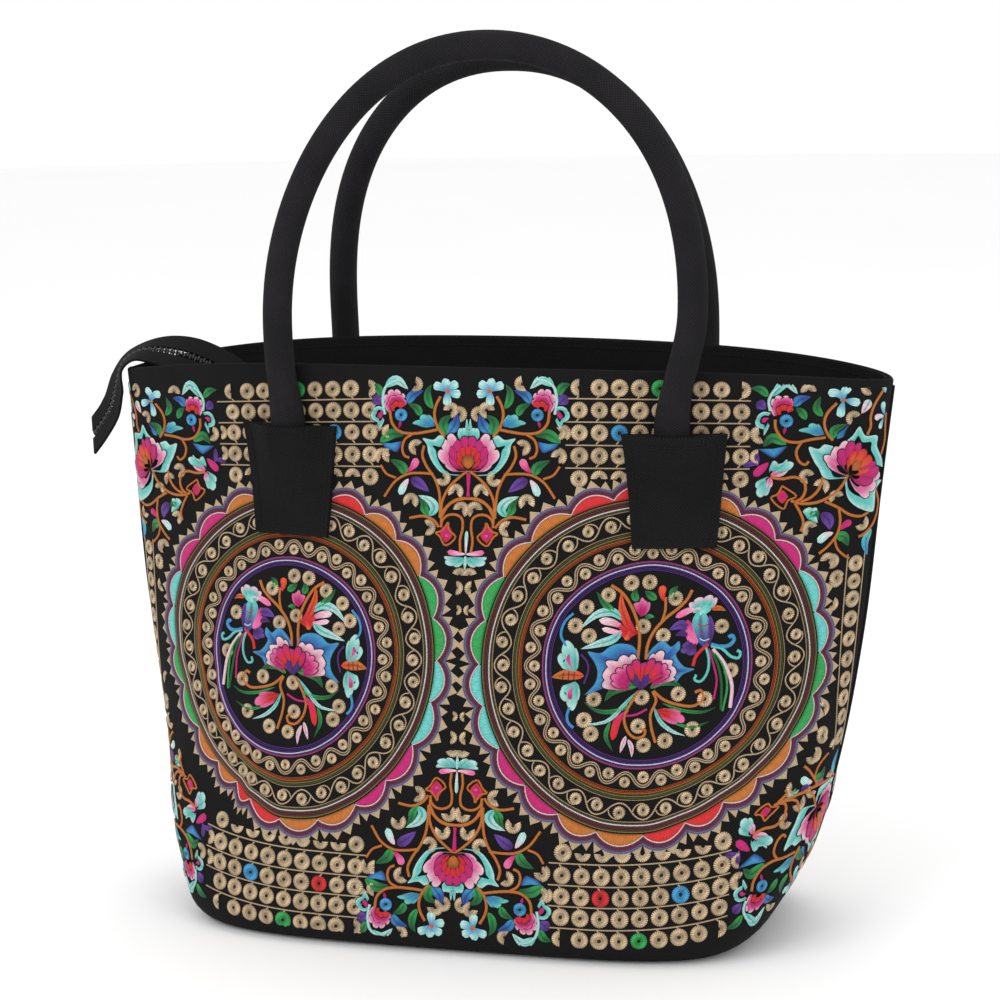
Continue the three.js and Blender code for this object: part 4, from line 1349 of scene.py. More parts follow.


# Drawings charted from the middle outwards, in millimetres along the cloth. A stem
# has a colour, a width and its points; a leaf or petal its root and tip colours, its width
# and its points; a fan its two colours, its lobes, where it starts, its root and its edge.
ROUNDEL_MOTIF = (
    ("fan", "blue_deep", "sky", 0, 0.35, (-2, -3.9, -31.1, -14.3, -25.9, -8.2, -24.9, -2.5, -26.9, 2.6, -30, 7.4, -23.6, 6.7, -19, 10, -14.2, 11.5, -7.7, 10.2, -4.3, 5.7)),
    ("fan", "blue_deep", "sky", 0, 0.35, (1.8, -4, -0.5, 5.6, 3.1, 10, 7.5, 12.8, 11.7, 9.6, 15.5, 12.3, 16.1, 8.5, 14.2, 5.7, 18.6, -0.6, 23.8, -2, 17.9, -4.6, 15.1, -8.1)),
    ("fan", "magenta", "blush", 5, 0.3, (-3.2, -11.8, -17.1, -11.7, -22, -10.2, -23.2, -5.3, -21.1, -1.3, -21.5, 2.3, -17.7, 3.6, -13.9, 5.1, -10.8, 6.4, -6.9, 6.1, -4.2, 2.7)),
    ("fan", "magenta", "blush", 5, 0.3, (-1.7, -11.5, 0, 2.6, 1.7, 5.9, 5.1, 8.2, 8.5, 7.1, 9.4, 3.7, 13.3, 2.6, 14.2, -1.1, 15.2, -4.5, 14, -7, 8.4, -7.7)),
    ("fan", "magenta", "pink", 4, 0.5, (-3.6, -10.9, -16.3, -10.4, -18.3, -6.8, -16.7, -2.5, -13.2, 0.2, -9.3, 1.5)),
    ("fan", "magenta", "pink", 4, 0.5, (0.5, -8.4, 2.9, 2.1, 8.2, 2, 10.9, -1, 11.8, -4.2, 9.9, -6.4)),
    ("fan", "red", "magenta", 6, 0.25, (-3, -10.3, -9.4, -5.4, -10.1, -0, -7.4, 3, -4.1, 3.2, -2.2, 1.7, -0, 3.2, 3, 3.9, 5.7, 2.3, 8.1, -1, 7.8, -4.9, 4, -6.3)),
    ("fan", "purple", "purple", 2, 0.0, (-3, -12, -7.5, -7.9, -8.1, -4.4, -5.9, -2.6, -3, -4.4, -0.5, -2.4, 2.7, -4.3, 3, -7.6)),
    ("leaf", "green", "green_deep", 5, (-3.7, -9.6, -10.1, -9.6, -17, -12.4, -20.7, -17.5)),
    ("leaf", "green", "green_deep", 5, (2.1, -11.3, 6.8, -7.6, 12.2, -8, 17.7, -10.7)),
    ("stem", "ochre", 2.0, (-4.9, 3.5, -4.4, 13.3, -5.7, 21.6, -9.2, 29.9, -14.2, 36.9, -20.1, 40.9)),
    ("stem", "ochre", 2.0, (-0.8, 3.4, -0.3, 10.1, 2.4, 17.1, 8.2, 24, 14.4, 29, 18.6, 33.4, 21, 38.3)),
    ("stem", "ochre", 1.7, (6.1, 21.5, 7.8, 27.8, 7.7, 34.8)),
    ("petal", "red", "orange", 5, (6.8, 32.7, 5.8, 36.8, 6.1, 40.8)),
    ("leaf", "green", "green_deep", 4, (-6.3, 32.8, -8, 35.8, -7.4, 39.9)),
    ("leaf", "green", "green_deep", 4, (3.3, 33.6, 0.2, 35.5, -3, 38.1)),
    ("petal", "green", "green_deep", 3.6, (2.4, 24.7, -0.1, 25.1, -2, 23.9)),
    ("leaf", "green", "green_deep", 4, (11.3, 34.1, 11.4, 37.3, 13.7, 40.5)),
    ("fan", "magenta", "pink", 3, 0.0, (-4.3, 24.9, -7, 28, -8.3, 31.5, -6.3, 32.8, -4.3, 34.8, -2.7, 33.5, -0.1, 32.8, -0.2, 28.6, -1.8, 26)),
    ("leaf", "green", "green_deep", 3.4, (-16.8, 26.8, -22.6, 31.2, -27.3, 37.6)),
    ("leaf", "red", "orange", 4.6, (-7.5, 15.9, -11.5, 22.9, -14, 29.3, -15, 37.6)),
    ("leaf", "aqua", "ice", 4.4, (-11.9, 22.7, -18.8, 27.3, -26.6, 25.8, -34, 18.4)),
    ("leaf", "aqua", "ice", 4.4, (-12.7, 18.9, -17.4, 13.8, -24.7, 11.3, -33.5, 8.7)),
    ("petal", "magenta", "blush", 5, (-10.6, 18.1, -17.5, 21.7, -25.2, 23.2)),
    ("petal", "pink", "blush", 3.6, (-10.8, 16.6, -17.3, 17.4, -23.5, 18.9)),
    ("fan", "red", "red", 3, 0.0, (-5.5, 16.5, -11.2, 13, -14.4, 16.6, -15.6, 20.9, -11.8, 21.2, -9.7, 24.2)),
    ("petal", "red", "orange", 4.4, (-9.1, 18.9, -10.3, 15.9, -11.4, 13)),
    ("petal", "blush", "pink", 4.5, (27.2, 28.7, 20.2, 27.9, 13.1, 24.4)),
    ("fan", "aqua", "blush", 4, 0.3, (27.3, 26.2, 21.2, 26.3, 19.6, 31.5, 23.1, 33.9, 26.9, 34.9, 30.9, 35.3, 33.6, 33.7, 33.5, 30.1)),
    ("petal", "ice", "aqua", 6.5, (23.6, 23, 26.6, 27.2, 30.5, 29.9)),
    ("leaf", "orange", "ochre", 2.6, (30.8, 27.9, 34.7, 28.5, 38.4, 26.9)),
    ("petal", "magenta", "pink", 7.5, (19.2, 23.1, 20.7, 17.3, 24, 9.5)),
    ("leaf", "aqua", "blue_deep", 9, (25.6, 28, 26.2, 18, 29.6, 7.5)),
    ("leaf", "violet", "purple", 3.4, (30.2, 25, 31.4, 17, 30.4, 9)),
    ("stem", "red", 1.1, (24.2, 21, 26.8, 19.5, 29.6, 20.5)),
    ("stem", "magenta", 1.1, (24.6, 17, 27.2, 15.6, 30.2, 16.6)),
    ("stem", "blush", 1.0, (25.6, 13.4, 28, 12.2, 30.6, 13)),
    ("leaf", "purple", "violet", 5, (21.1, 18, 16.3, 20.5, 10.3, 18.1)),
    ("leaf", "purple", "purple", 3, (20.8, 14.8, 16.6, 16.2, 13.3, 15)),
    ("fan", "purple", "violet", 3, 0.0, (24.2, 10.8, 24.5, 5.4, 20.4, 5, 16.5, 6.9, 16.9, 9.7, 19.7, 12.5)),
    ("stem", "red", 2.2, (30.4, 10.3, 27.6, 8.1, 24.3, 4.4, 22.9, -0.5)),
    ("stem", "aqua", 1.7, (29.2, 8.6, 30.8, 2.8, 30.3, -3.8, 27, -8.2, 24, -7.3, 24.7, -4.8)),
    ("stem", "sky", 2.6, (31.5, 10.1, 36.7, 8.8, 41.1, 9.4, 43.3, 12.2, 41.9, 14.3, 40.4, 13.3)),
    ("stem", "aqua", 1.9, (31.8, 9.3, 37.3, 7.8, 42, 3.6, 46, 2.7, 46.7, 5.5, 44.9, 6.6)),
    ("stem", "magenta", 1.4, (30.5, 8, 33.2, 0.2, 35.1, -7.5, 34.2, -17.3)),
    ("stem", "green_deep", 1.8, (31.6, 7.2, 35.3, 0.1, 37.5, -8.9, 38.1, -22.7)),
    ("stem", "green", 1.5, (33.7, 6.3, 38.5, -1.4, 40.5, -11.5, 38.9, -23.4)),
    ("stem", "blush", 2.3, (32.6, 7.9, 38.9, -0.1, 42.8, -10.4, 42.7, -21.9)),
    ("stem", "sky", 1.7, (-40.8, 10.2, -43.5, 15.3, -41.9, 21.6, -37.7, 26.2)),
    ("fan", "aqua", "ice", 3, 0.0, (-35.9, -2.8, -43.2, -1.1, -45.2, 3.5, -44.1, 8.1, -40.9, 13, -36.7, 11, -34.5, 6.1, -34.5, -0.3)),
    ("petal", "pink", "magenta", 5.6, (-36.5, -2.6, -38.9, 2.2, -39.4, 8.6)),
    ("stem", "ink", 1.2, (-42.2, 2.4, -41.4, 3.4)),
    ("fan", "aqua", "ice", 3, 0.0, (-35.7, -7.4, -43.1, -10, -43.4, -14.7, -40.7, -19.2, -36.7, -22.3, -34, -18.4, -33.2, -13.5, -33.8, -9.7)),
    ("petal", "pink", "magenta", 5.6, (-36.2, -8.2, -38.4, -12.6, -37.1, -17.4)),
    ("stem", "ink", 1.2, (-41, -13, -40.2, -14)),
    ("stem", "sky", 1.8, (-38.3, -20.5, -39.4, -25, -38.5, -28.4, -35.9, -30.7)),
    ("leaf", "orange", "ochre", 5.4, (-31.4, -4.8, -40.2, -4.1, -48, -5.5)),
    ("stem", "maroon", 0.9, (-36.4, -2.6, -36.6, -6.8)),
    ("stem", "maroon", 0.9, (-39.2, -2.4, -39.4, -6.6)),
    ("stem", "maroon", 0.9, (-42, -3, -42.2, -6.4)),
    ("stem", "purple", 1.5, (-33.4, 6.1, -30.2, 2.3, -29.5, -1.9, -31.5, -8.7)),
    ("stem", "ochre", 1.8, (-3.6, -12.5, -8, -19.3, -10.6, -25.7, -8.5, -33, -4.5, -36.4, -0.5, -35.6, 0.2, -32.6, -2.7, -31.8)),
    ("stem", "ochre", 1.8, (3.2, -12.6, 5.2, -17.3, 2.7, -24.3, 3.2, -30.6, 5.8, -39.2)),
    ("stem", "ochre", 1.9, (3.5, -12.4, 9, -17, 16.6, -19.7, 24.6, -20.4, 28.8, -16.8, 27.3, -12.7, 24.5, -13.6)),
    ("leaf", "aqua", "ice", 2.2, (-5.2, -13, -11.8, -20.3, -19, -27.3, -34.3, -29.7)),
    ("leaf", "green", "green_deep", 2.4, (-6.5, -18.8, -15.3, -22.4, -24.3, -22.1, -31.5, -17.6)),
    ("leaf", "green", "green_deep", 2.4, (-17.5, -27.3, -19.5, -35, -15.8, -43.2)),
    ("leaf", "aqua", "ice", 2.2, (4, -20.2, 7.7, -28.1, 14, -33.3, 21.1, -35.9)),
    ("leaf", "green", "green_deep", 1.8, (8.3, -18.8, 19.5, -22.8, 29.6, -23.6, 35.9, -21.1)),
    ("leaf", "green", "green_deep", 1.8, (14.9, -29.5, 24.7, -31.3, 33.1, -28.5)),
    ("petal", "magenta", "red", 5.2, (-8.2, -21.9, -13.6, -26.7, -16.3, -37.4)),
    ("leaf", "blush", "blush", 2.4, (-9.4, -35.1, -10.8, -39.4, -12.2, -44)),
    ("leaf", "blush", "blush", 2.4, (-8.3, -36.9, -6.4, -41.4, -6.1, -46.5)),
    ("fan", "red", "pink", 3, 0.0, (5.4, -22, 9.2, -27.6, 14.9, -29.8, 19.8, -29.4, 20.2, -25.9, 17.2, -22.5, 10.2, -21.3)),
    ("stem", "magenta", 1.5, (-11.4, -24.9, -5, -24.4, 0.8, -21.7)),
)
ROUNDEL_ROSETTES = ((-10, 42.2), (-0.7, 42.3), (-21.2, 35.9), (-31.6, 29.5), (-36.4, 20.1), (-29.5, 15.1), (-2.8, 20.1), (7.4, 15.3), (12.8, 34.1), (36.7, 19.2), (42.3, -3.4), (16.3, -14.2), (29.7, -17.1), (-2.2, -15.6), (-26.2, -16.3), (-30.8, -26.8), (-27.1, -33.8), (-3.5, -30.3), (-0.3, -40.4), (10.7, -38.3), (24.5, -32.5))
MIDDLE_MOTIF = (
    ("fan", "aqua", "ice", 0, 0.78, (0.2, 96.5, 5.7, 94.5, 13.6, 95.6, 18.8, 100.8, 21.4, 106.3, 22.1, 110.4, 24.3, 113.7, 18.6, 113, 15.2, 115.3, 12.9, 114.1, 14.1, 111.3)),
    ("fan", "aqua", "ice", 3, 0.7, (-0.2, 106.1, -5.8, 116.4, -3, 119, -0.5, 119.5, 0.9, 123.8, 2.3, 119.5, 4.9, 118.8, 6.5, 115.7)),
    ("fan", "pink", "blush", 4, 0.55, (0.2, 96.6, 2.3, 97.1, 8.6, 96.9, 13.9, 100.7, 16.2, 104.9, 15.5, 109.6, 13.1, 111.3, 12.7, 115.1, 8.8, 116.3, 6.1, 114.4)),
    ("fan", "magenta", "magenta", 5, 0.45, (-0.2, 97.5, -0.2, 97.5, 7.8, 99, 10.3, 103.1, 10.3, 108.2, 7.5, 112, 4, 114.4, -0.2, 115.4)),
    ("fan", "red", "red", 5, 0.4, (-0.2, 97.5, -0.2, 97.5, 5.1, 99.6, 6.5, 104.1, 5.1, 108.2, 1.9, 109.9, -0.3, 110.2)),
    ("fan", "ochre", "ochre_deep", 4, 0.0, (-0.3, 98.2, -2.4, 99.6, -3.4, 102.6, -2.6, 104.7, -0.5, 105.5, 1.9, 105.1, 3.3, 103, 2.5, 99.8)),
    ("stem", "magenta", 1.7, (0.3, 83.9, -0.2, 89.7, -0.5, 96.1)),
    ("stem", "ochre", 1.9, (12.7, 114.4, 16.6, 119.9, 18, 126.1, 17, 130.9, 14.6, 135.3)),
    ("stem", "ochre", 1.9, (16.2, 118.2, 22.8, 116.9, 30.3, 116.1, 36.5, 117.2, 40.6, 121.5, 41.7, 128.4)),
    ("stem", "ochre", 1.7, (29.7, 115.9, 33.8, 113.2, 35.3, 108.4, 34.1, 104.7, 31.4, 103.5)),
    ("stem", "ochre", 1.8, (-0.2, 97.5, 4.7, 93.8, 10.1, 88.4, 13.6, 81, 13.7, 74.3, 13.6, 70.2)),
    ("stem", "ochre", 1.8, (23.5, 110, 24.5, 104.9, 22.3, 99.4, 18, 93.3, 15.5, 87.1, 14.6, 80.3, 14.4, 72.9)),
    ("stem", "ochre", 1.7, (18.4, 95.2, 25.3, 95.7, 32.3, 95.1, 38.9, 91.4, 44.8, 83.4)),
    ("stem", "ochre", 1.6, (38.6, 93.1, 43.8, 95.2, 47, 99.7)),
    ("stem", "ochre", 1.8, (-13.7, 73.5, -10.2, 79.3, -5.4, 82.1, -0.1, 82.9, 5.1, 82.6, 9.4, 80.3, 14.4, 74.6)),
    ("stem", "ochre", 1.7, (2.8, 56, 3.3, 62, 2.2, 68, 2.9, 72.8, 6.3, 74.7, 10.5, 74.2, 13.1, 71.6, 13.7, 68.2)),
    ("stem", "ochre", 1.8, (14.7, 68.2, 17.6, 71.6, 23.1, 73.7, 30.7, 72.6)),
    ("fan", "magenta", "red", 0, 0.0, (10.5, 64.1, 10.8, 60.3, 14.2, 65.9, 10.2, 69.5, 7.4, 64.1, 10.8, 60.3)),
    ("stem", "ochre", 1.3, (16.4, 65.4, 12.4, 66.9, 10, 70.8, 9.4, 67.1, 5.7, 63.4, 10.9, 59.1, 14, 63.5, 16.4, 65.4)),
    ("petal", "pink", "magenta", 4.2, (12.1, 64.2, 10.2, 64.1, 8.1, 64.1)),
    ("petal", "blush", "ice", 2.4, (0, 54.6, 0, 60.6, 0.1, 66.7)),
    ("petal", "blush", "pink", 3.6, (0, 54.9, 4.9, 55.2, 9.8, 56)),
    ("fan", "aqua", "ice", 3, 0.0, (0.5, 53.3, 1, 49.9, 3.9, 48.3, 8.1, 48.7, 11.1, 50.8, 11.3, 53.5, 6.4, 53.4)),
    ("leaf", "ice", "ice", 1.6, (0.1, 54.2, 0.1, 50.6, 0.1, 46.7)),
    ("petal", "sky", "ice", 6, (11.1, 138, 8.5, 140.4, 5.4, 142.1)),
    ("petal", "sky", "ice", 6, (11.4, 138, 12.2, 141.1, 10.5, 144)),
    ("petal", "sky", "ice", 6, (11.8, 138, 15.1, 140.1, 18.4, 141.2)),
    ("petal", "sky", "ice", 6, (11.4, 137.7, 11.2, 134.3, 11.4, 130.3)),
    ("petal", "sky", "ice", 6, (11.1, 137.7, 7.6, 136.6, 4.1, 136.3)),
    ("petal", "ochre", "orange", 4.4, (12.8, 138.4, 11.1, 138, 9.7, 137.8)),
    ("leaf", "green", "green_deep", 4.2, (18.7, 128.8, 21.1, 132.9, 21.5, 137.4, 19.4, 141.4)),
    ("leaf", "green", "green_deep", 5.5, (11.3, 115.4, 13.1, 119.2, 12.8, 122.6, 8.9, 125.7)),
    ("leaf", "sky", "blue_deep", 5.5, (11.3, 115.8, 8.2, 119.2, 6.8, 121.9, 6, 126.6)),
    ("fan", "sky", "aqua", 4, 0.0, (17.9, 119.9, 18, 123, 20.7, 125.8, 24.2, 126.1, 26.9, 123.8, 29.8, 121.4, 26.2, 120.1, 22.1, 119.1)),
    ("leaf", "sky", "blue_deep", 4.8, (32.1, 131.7, 29.8, 135.7, 23.7, 138.3)),
    ("leaf", "green", "green_deep", 4.2, (25.4, 125.1, 27, 128.9, 32.1, 131.7)),
    ("fan", "pink", "blush", 5, 0.7, (37.9, 128.3, 43, 127, 45.1, 133.2, 43.4, 137.6, 39.3, 139.5, 35.2, 137.8, 32.8, 135.1)),
    ("fan", "magenta", "pink", 4, 0.6, (37.9, 128.3, 42.4, 127.7, 43.1, 132.5, 40.7, 135.9, 35.9, 136.5, 32.8, 133.7, 32.6, 131)),
    ("fan", "red", "red", 3, 0.4, (37.9, 128.3, 40.3, 127.7, 41, 131.1, 38.6, 133, 35.6, 133.2, 32.6, 130.9)),
    ("leaf", "magenta", "magenta", 1.6, (36, 122.8, 36.5, 120.8, 36.9, 119)),
    ("stem", "ice", 1.9, (44.4, 126.3, 45.4, 133.2, 44.1, 139.9, 40, 143.2, 35.9, 143.9)),
    ("leaf", "aqua", "ice", 5, (44.1, 140.6, 37.9, 143.9, 31.8, 139.1)),
    ("fan", "magenta", "magenta", 0, 0.0, (48.1, 126.4, 46.1, 128.4, 45.4, 126.4, 47.1, 124, 48.5, 125)),
    ("fan", "aqua", "ice", 3, 0.55, (46.8, 126.4, 43.7, 129.1, 47.5, 130.6, 51.5, 128.5, 51.7, 124.4, 48.8, 121.6, 47.1, 119.2, 44.4, 122.9)),
    ("leaf", "purple", "violet", 6, (51.2, 135.3, 48.5, 133.6, 46.1, 131.5)),
    ("leaf", "green", "green_deep", 4.4, (46.1, 135.9, 48.1, 140, 52.2, 141.7)),
    ("leaf", "green", "green_deep", 5.5, (47.4, 111.6, 40.6, 116, 34.4, 114.9)),
    ("fan", "sky", "blue_deep", 0, 0.0, (40.9, 111.2, 35.5, 112.2, 37.2, 107.8, 38.6, 106.6, 41.3, 107.5, 44, 108.5, 46.6, 111.3)),
    ("petal", "magenta", "pink", 5.2, (32.5, 96.1, 29.2, 99.5, 27.3, 103.4)),
    ("leaf", "green", "green_deep", 5.2, (33.8, 94.8, 35.4, 98.9, 42.1, 102.7)),
    ("leaf", "purple", "violet", 5.6, (30.8, 92.7, 26.5, 90.6, 20.7, 86.2)),
    ("petal", "blush", "ice", 5.2, (31.9, 92.7, 34.2, 89.3, 36.5, 84.3)),
    ("leaf", "aqua", "ice", 5, (20.3, 73.7, 17.6, 77.7, 19.8, 81.4, 26.5, 84.2)),
    ("leaf", "green", "green_deep", 4.4, (20.3, 73.7, 22.8, 77.1, 23.4, 79.8, 25.9, 83.2)),
)
MIDDLE_ROSETTES = ((28, 141.5, 100, 200), (9.3, 128.1, 0, 270), (5.1, 126, 40, 220), (27.9, 109.1, 270, 230), (48.4, 116.8, 300, 200), (46.4, 104.4, 300, 240), (13.5, 93.2, 90, 260), (6.7, 86.3, 330, 260), (30.4, 81.2, 330, 260), (3.5, 77.2, 0, 240), (20.6, 68, 60, 230), (2.5, 44, 20, 150))
CORNER_MOTIF = (
    ("fan", "aqua", "ice", 0, 0.6, (192.6, 95.8, 191.2, 94, 180, 94.2, 176.9, 99.4, 174.3, 103.2, 171.5, 110.8, 176.5, 109.9, 179.3, 112.2, 183.7, 111.4)),
    ("fan", "aqua", "ice", 0, 0.7, (196, 105.2, 191, 114.4, 194, 117, 197.6, 121.9, 201, 116.9, 208.4, 116.5, 208.5, 110.8, 212.6, 103.5, 213.8, 98.7)),
    ("fan", "aqua", "ice", 0, 0.6, (193, 95.8, 190.9, 91.7, 192.5, 84.1, 195.1, 80.6, 200.1, 77.3, 208.4, 75.1, 209.2, 80.8, 209.1, 86.9, 213.3, 91.8)),
    ("fan", "pink", "blush", 4, 0.5, (192.6, 95.8, 190.4, 95.5, 182.7, 99.4, 179.1, 103.9, 179.5, 106.9, 183.1, 109.2, 185.2, 112.2, 189.5, 114.4, 193.3, 113.6)),
    ("fan", "pink", "blush", 4, 0.5, (193, 95.8, 193.1, 93.2, 196.2, 87.8, 202.2, 82.7, 206.4, 84.9, 208.9, 89.2, 211.1, 93.6, 210.7, 98.3)),
    ("fan", "magenta", "magenta", 4, 0.4, (192.6, 96.2, 192.6, 96.6, 186.2, 103.9, 186.1, 108.4, 189.7, 111.4, 193.3, 114.4, 198, 113.5, 199.1, 110.4)),
    ("fan", "magenta", "magenta", 4, 0.4, (193, 96.2, 193, 95.8, 197.6, 90.7, 202.5, 89.7, 207.6, 93.2, 209.6, 99.1, 207.5, 102.4, 204.3, 103.3)),
    ("fan", "orange", "red", 6, 0.4, (192.6, 96.6, 191.3, 99.3, 191.4, 105.3, 194.3, 109, 199, 110.1, 203.2, 108, 205.6, 102.5, 205, 97.9, 201.3, 95.5, 194.9, 96)),
    ("fan", "ochre", "ochre_deep", 4, 0.0, (194, 98.4, 193.9, 100.7, 194.6, 103.7, 197.2, 104.8, 199.9, 103.5, 199.8, 100.5, 197.2, 98.2)),
    ("stem", "ochre", 2.0, (192.6, 95.8, 189.2, 89.5, 183.5, 84.4, 176.3, 81.3, 168.4, 81, 163.3, 82.5)),
    ("stem", "ochre", 1.9, (180.7, 81.9, 188.3, 78.3, 194.8, 74.3, 201.3, 73.1, 205.7, 74.9)),
    ("stem", "ochre", 1.9, (179.3, 94.6, 177.4, 88.3, 173.3, 83.9, 168.3, 81.8)),
    ("stem", "ochre", 1.9, (152.5, 94.6, 158.6, 93.8, 164.9, 94.8, 169.3, 92.8, 170.6, 88.3, 169, 83.9, 166.2, 82.1)),
    ("stem", "ochre", 1.8, (165.5, 81.1, 168.6, 75.9, 170.4, 70.7, 169.3, 66.4)),
    ("stem", "ochre", 1.8, (188.7, 77.6, 189.8, 70.8, 188.6, 64.1, 183.8, 57.7, 179.5, 54.3)),
    ("stem", "ochre", 1.6, (187.3, 62.7, 189.2, 56.7, 193.5, 52.6, 196.5, 50.9)),
    ("stem", "ochre", 1.9, (185, 134.5, 180.2, 128.7, 179, 123.5, 180.6, 118.2, 183.6, 114.5)),
    ("stem", "ochre", 1.9, (179.9, 116, 172.1, 114.7, 165.1, 113.1, 158.7, 114.5, 154.7, 120, 154.2, 125.1)),
    ("stem", "ochre", 1.8, (167.9, 113.6, 165.2, 108.3, 166.8, 103.1, 170, 101.3, 171.8, 103.2)),
    ("stem", "ochre", 1.9, (211.1, 141.4, 206, 133.9, 203.8, 127.1, 204.1, 121.8, 202.3, 117.2)),
    ("stem", "ochre", 1.5, (213.9, 128.9, 214, 121.2, 214.2, 113.4, 211.8, 105.9)),
    ("stem", "ochre", 1.9, (209.6, 86.9, 212.6, 78.8, 210.2, 69.2, 204.9, 63.7, 200.8, 61.8)),
    ("stem", "ochre", 1.3, (158.7, 90.2, 156.4, 85.8, 153.3, 84.1, 159.9, 78.2, 161.9, 82.5, 166.1, 84.7, 158.7, 90.2)),
    ("fan", "magenta", "red", 0, 0.0, (158.9, 84.7, 162.1, 84.7, 158.8, 88, 156.2, 84.8, 159.1, 81.1, 162.1, 84.7)),
    ("fan", "aqua", "ice", 3, 0.3, (152.1, 96, 151.7, 99.3, 154, 103.4, 158.3, 102.3, 161.1, 104.4, 164, 102.3, 163.7, 99)),
    ("leaf", "pink", "blush", 4, (152.5, 95.7, 157.8, 97.1, 161.6, 98.5)),
    ("fan", "aqua", "ice", 3, 0.3, (152.5, 94.9, 150.8, 94.9, 145.3, 91.7, 145.4, 86.3, 148.3, 83.9, 151.4, 85.5, 153.2, 89.8)),
    ("leaf", "pink", "blush", 3.6, (152.3, 94.6, 152, 90.6, 149.9, 87.7)),
    ("petal", "magenta", "magenta", 5.6, (151.6, 102.2, 148.5, 99.3, 144, 95.3)),
    ("leaf", "purple", "violet", 3, (145.4, 108.1, 145.4, 103.7, 146.2, 100)),
    ("leaf", "purple", "violet", 3, (138.6, 100, 142.1, 101.5, 146, 101.3)),
    ("leaf", "green", "green_deep", 5.2, (160.2, 111.9, 153, 115.1, 148.6, 110.4)),
    ("fan", "sky", "blue_deep", 0, 0.0, (153.5, 109.6, 145.8, 109.5, 150.4, 106.6, 154, 104.8, 157.5, 107.4, 160.7, 111.2)),
    ("petal", "sky", "ice", 6, (188.3, 136.4, 184.8, 139.7, 180.2, 139.6)),
    ("petal", "sky", "ice", 6, (189, 136.7, 188.5, 140.1, 192.1, 143.8)),
    ("petal", "sky", "ice", 6, (189.4, 136, 193.1, 135.3, 197.6, 134.5)),
    ("petal", "sky", "ice", 6, (188.7, 135.6, 187.5, 131.1, 187.2, 126.7)),
    ("petal", "orange", "ochre", 2.6, (190.5, 136.2, 188.6, 136, 186.6, 136.2)),
    ("leaf", "green", "green_deep", 4.2, (178.1, 127.2, 174.8, 131.6, 176.7, 138)),
    ("leaf", "green", "green_deep", 4.8, (184, 115.2, 184.2, 119.7, 191.4, 123.2)),
    ("fan", "sky", "blue_deep", 3, 0.0, (185.8, 115.2, 185.7, 118.2, 188.9, 120.5, 191.8, 122.8, 190.2, 119, 189.1, 116)),
    ("fan", "sky", "aqua", 4, 0.0, (179.2, 117.5, 178.4, 119, 176.1, 123.1, 172.5, 123.7, 169.7, 121.8, 165.9, 119.5, 171.3, 118.1, 174.9, 116.7)),
    ("leaf", "sky", "blue_deep", 4.8, (163.5, 132.1, 165.8, 135.5, 171.8, 137.5)),
    ("leaf", "green", "green_deep", 4.2, (169.7, 125.2, 167.4, 129.2, 164.2, 131.4)),
    ("fan", "pink", "blush", 5, 0.7, (158.3, 128.2, 152.9, 126.6, 151.6, 132.5, 153.2, 136.9, 157.4, 137.8, 161.6, 137.2, 163.4, 133.6)),
    ("fan", "magenta", "pink", 4, 0.6, (158.3, 128.2, 153.8, 127.4, 152.8, 132.5, 154.7, 135.9, 159.5, 137.1, 162.7, 135.8, 163.3, 132.1)),
    ("fan", "red", "red", 3, 0.4, (158.3, 128.2, 155, 127.4, 154.9, 131.7, 158.2, 133, 161.7, 132.8, 163.7, 130.2)),
    ("leaf", "magenta", "magenta", 1.6, (159.6, 121.2, 159.1, 119.3, 158.7, 117.1)),
    ("leaf", "aqua", "ice", 5, (152.2, 136.9, 159.3, 144.6, 165.1, 138.8)),
    ("stem", "ice", 1.9, (151.7, 129.5, 150.9, 134.7, 153.2, 139.9, 156.5, 143)),
    ("fan", "aqua", "ice", 3, 0.55, (149.3, 125, 152.4, 128.8, 147.8, 128.8, 144.3, 125.3, 144.8, 121.3, 148.4, 119.1, 148.8, 116.6, 151.8, 121.4)),
    ("petal", "magenta", "magenta", 3, (151, 125.4, 149.3, 125, 147.9, 123.2)),
    ("leaf", "purple", "violet", 5.4, (144.9, 134.1, 147.1, 132.4, 149.5, 130.2)),
    ("leaf", "green", "green_deep", 4.2, (150.5, 136.9, 146.9, 140.5, 141.7, 141.2)),
    ("leaf", "green", "green_deep", 5, (173.9, 72.9, 175.9, 75.7, 177.6, 70.9)),
    ("fan", "aqua", "ice", 3, 0.0, (172.4, 72.9, 169.3, 77.3, 173.5, 79.1, 177.1, 78.3, 177.1, 74.2, 178.4, 70.1)),
    ("leaf", "purple", "violet", 6.2, (179.2, 75.7, 183.5, 71.8, 184.6, 66.6)),
    ("petal", "magenta", "magenta", 5, (190.1, 66.3, 192.5, 68.8, 196.3, 70.6)),
    ("petal", "blush", "ice", 5.6, (186.6, 65, 182.6, 63.7, 178.5, 60.2)),
    ("leaf", "green", "green_deep", 5.6, (187.9, 63.4, 192.6, 62.4, 195.4, 57.4)),
    ("leaf", "aqua", "sky", 5, (209.1, 65.5, 205.5, 59.1, 208, 51.2)),
    ("leaf", "ice", "blush", 5, (202.9, 136.3, 201.4, 133.3, 198.4, 128.8)),
    ("petal", "aqua", "ice", 6, (212.8, 139.7, 212, 143.6, 212.6, 148)),
    ("petal", "sky", "ice", 4.6, (213.4, 127.4, 211.9, 131.4, 212.1, 135)),
    ("petal", "ice", "blush", 4.6, (212.9, 126.7, 209.2, 126.9, 206.5, 125.5)),
    ("petal", "sky", "ice", 3.6, (212.4, 125.9, 211, 122.9, 210.2, 119.9)),
)
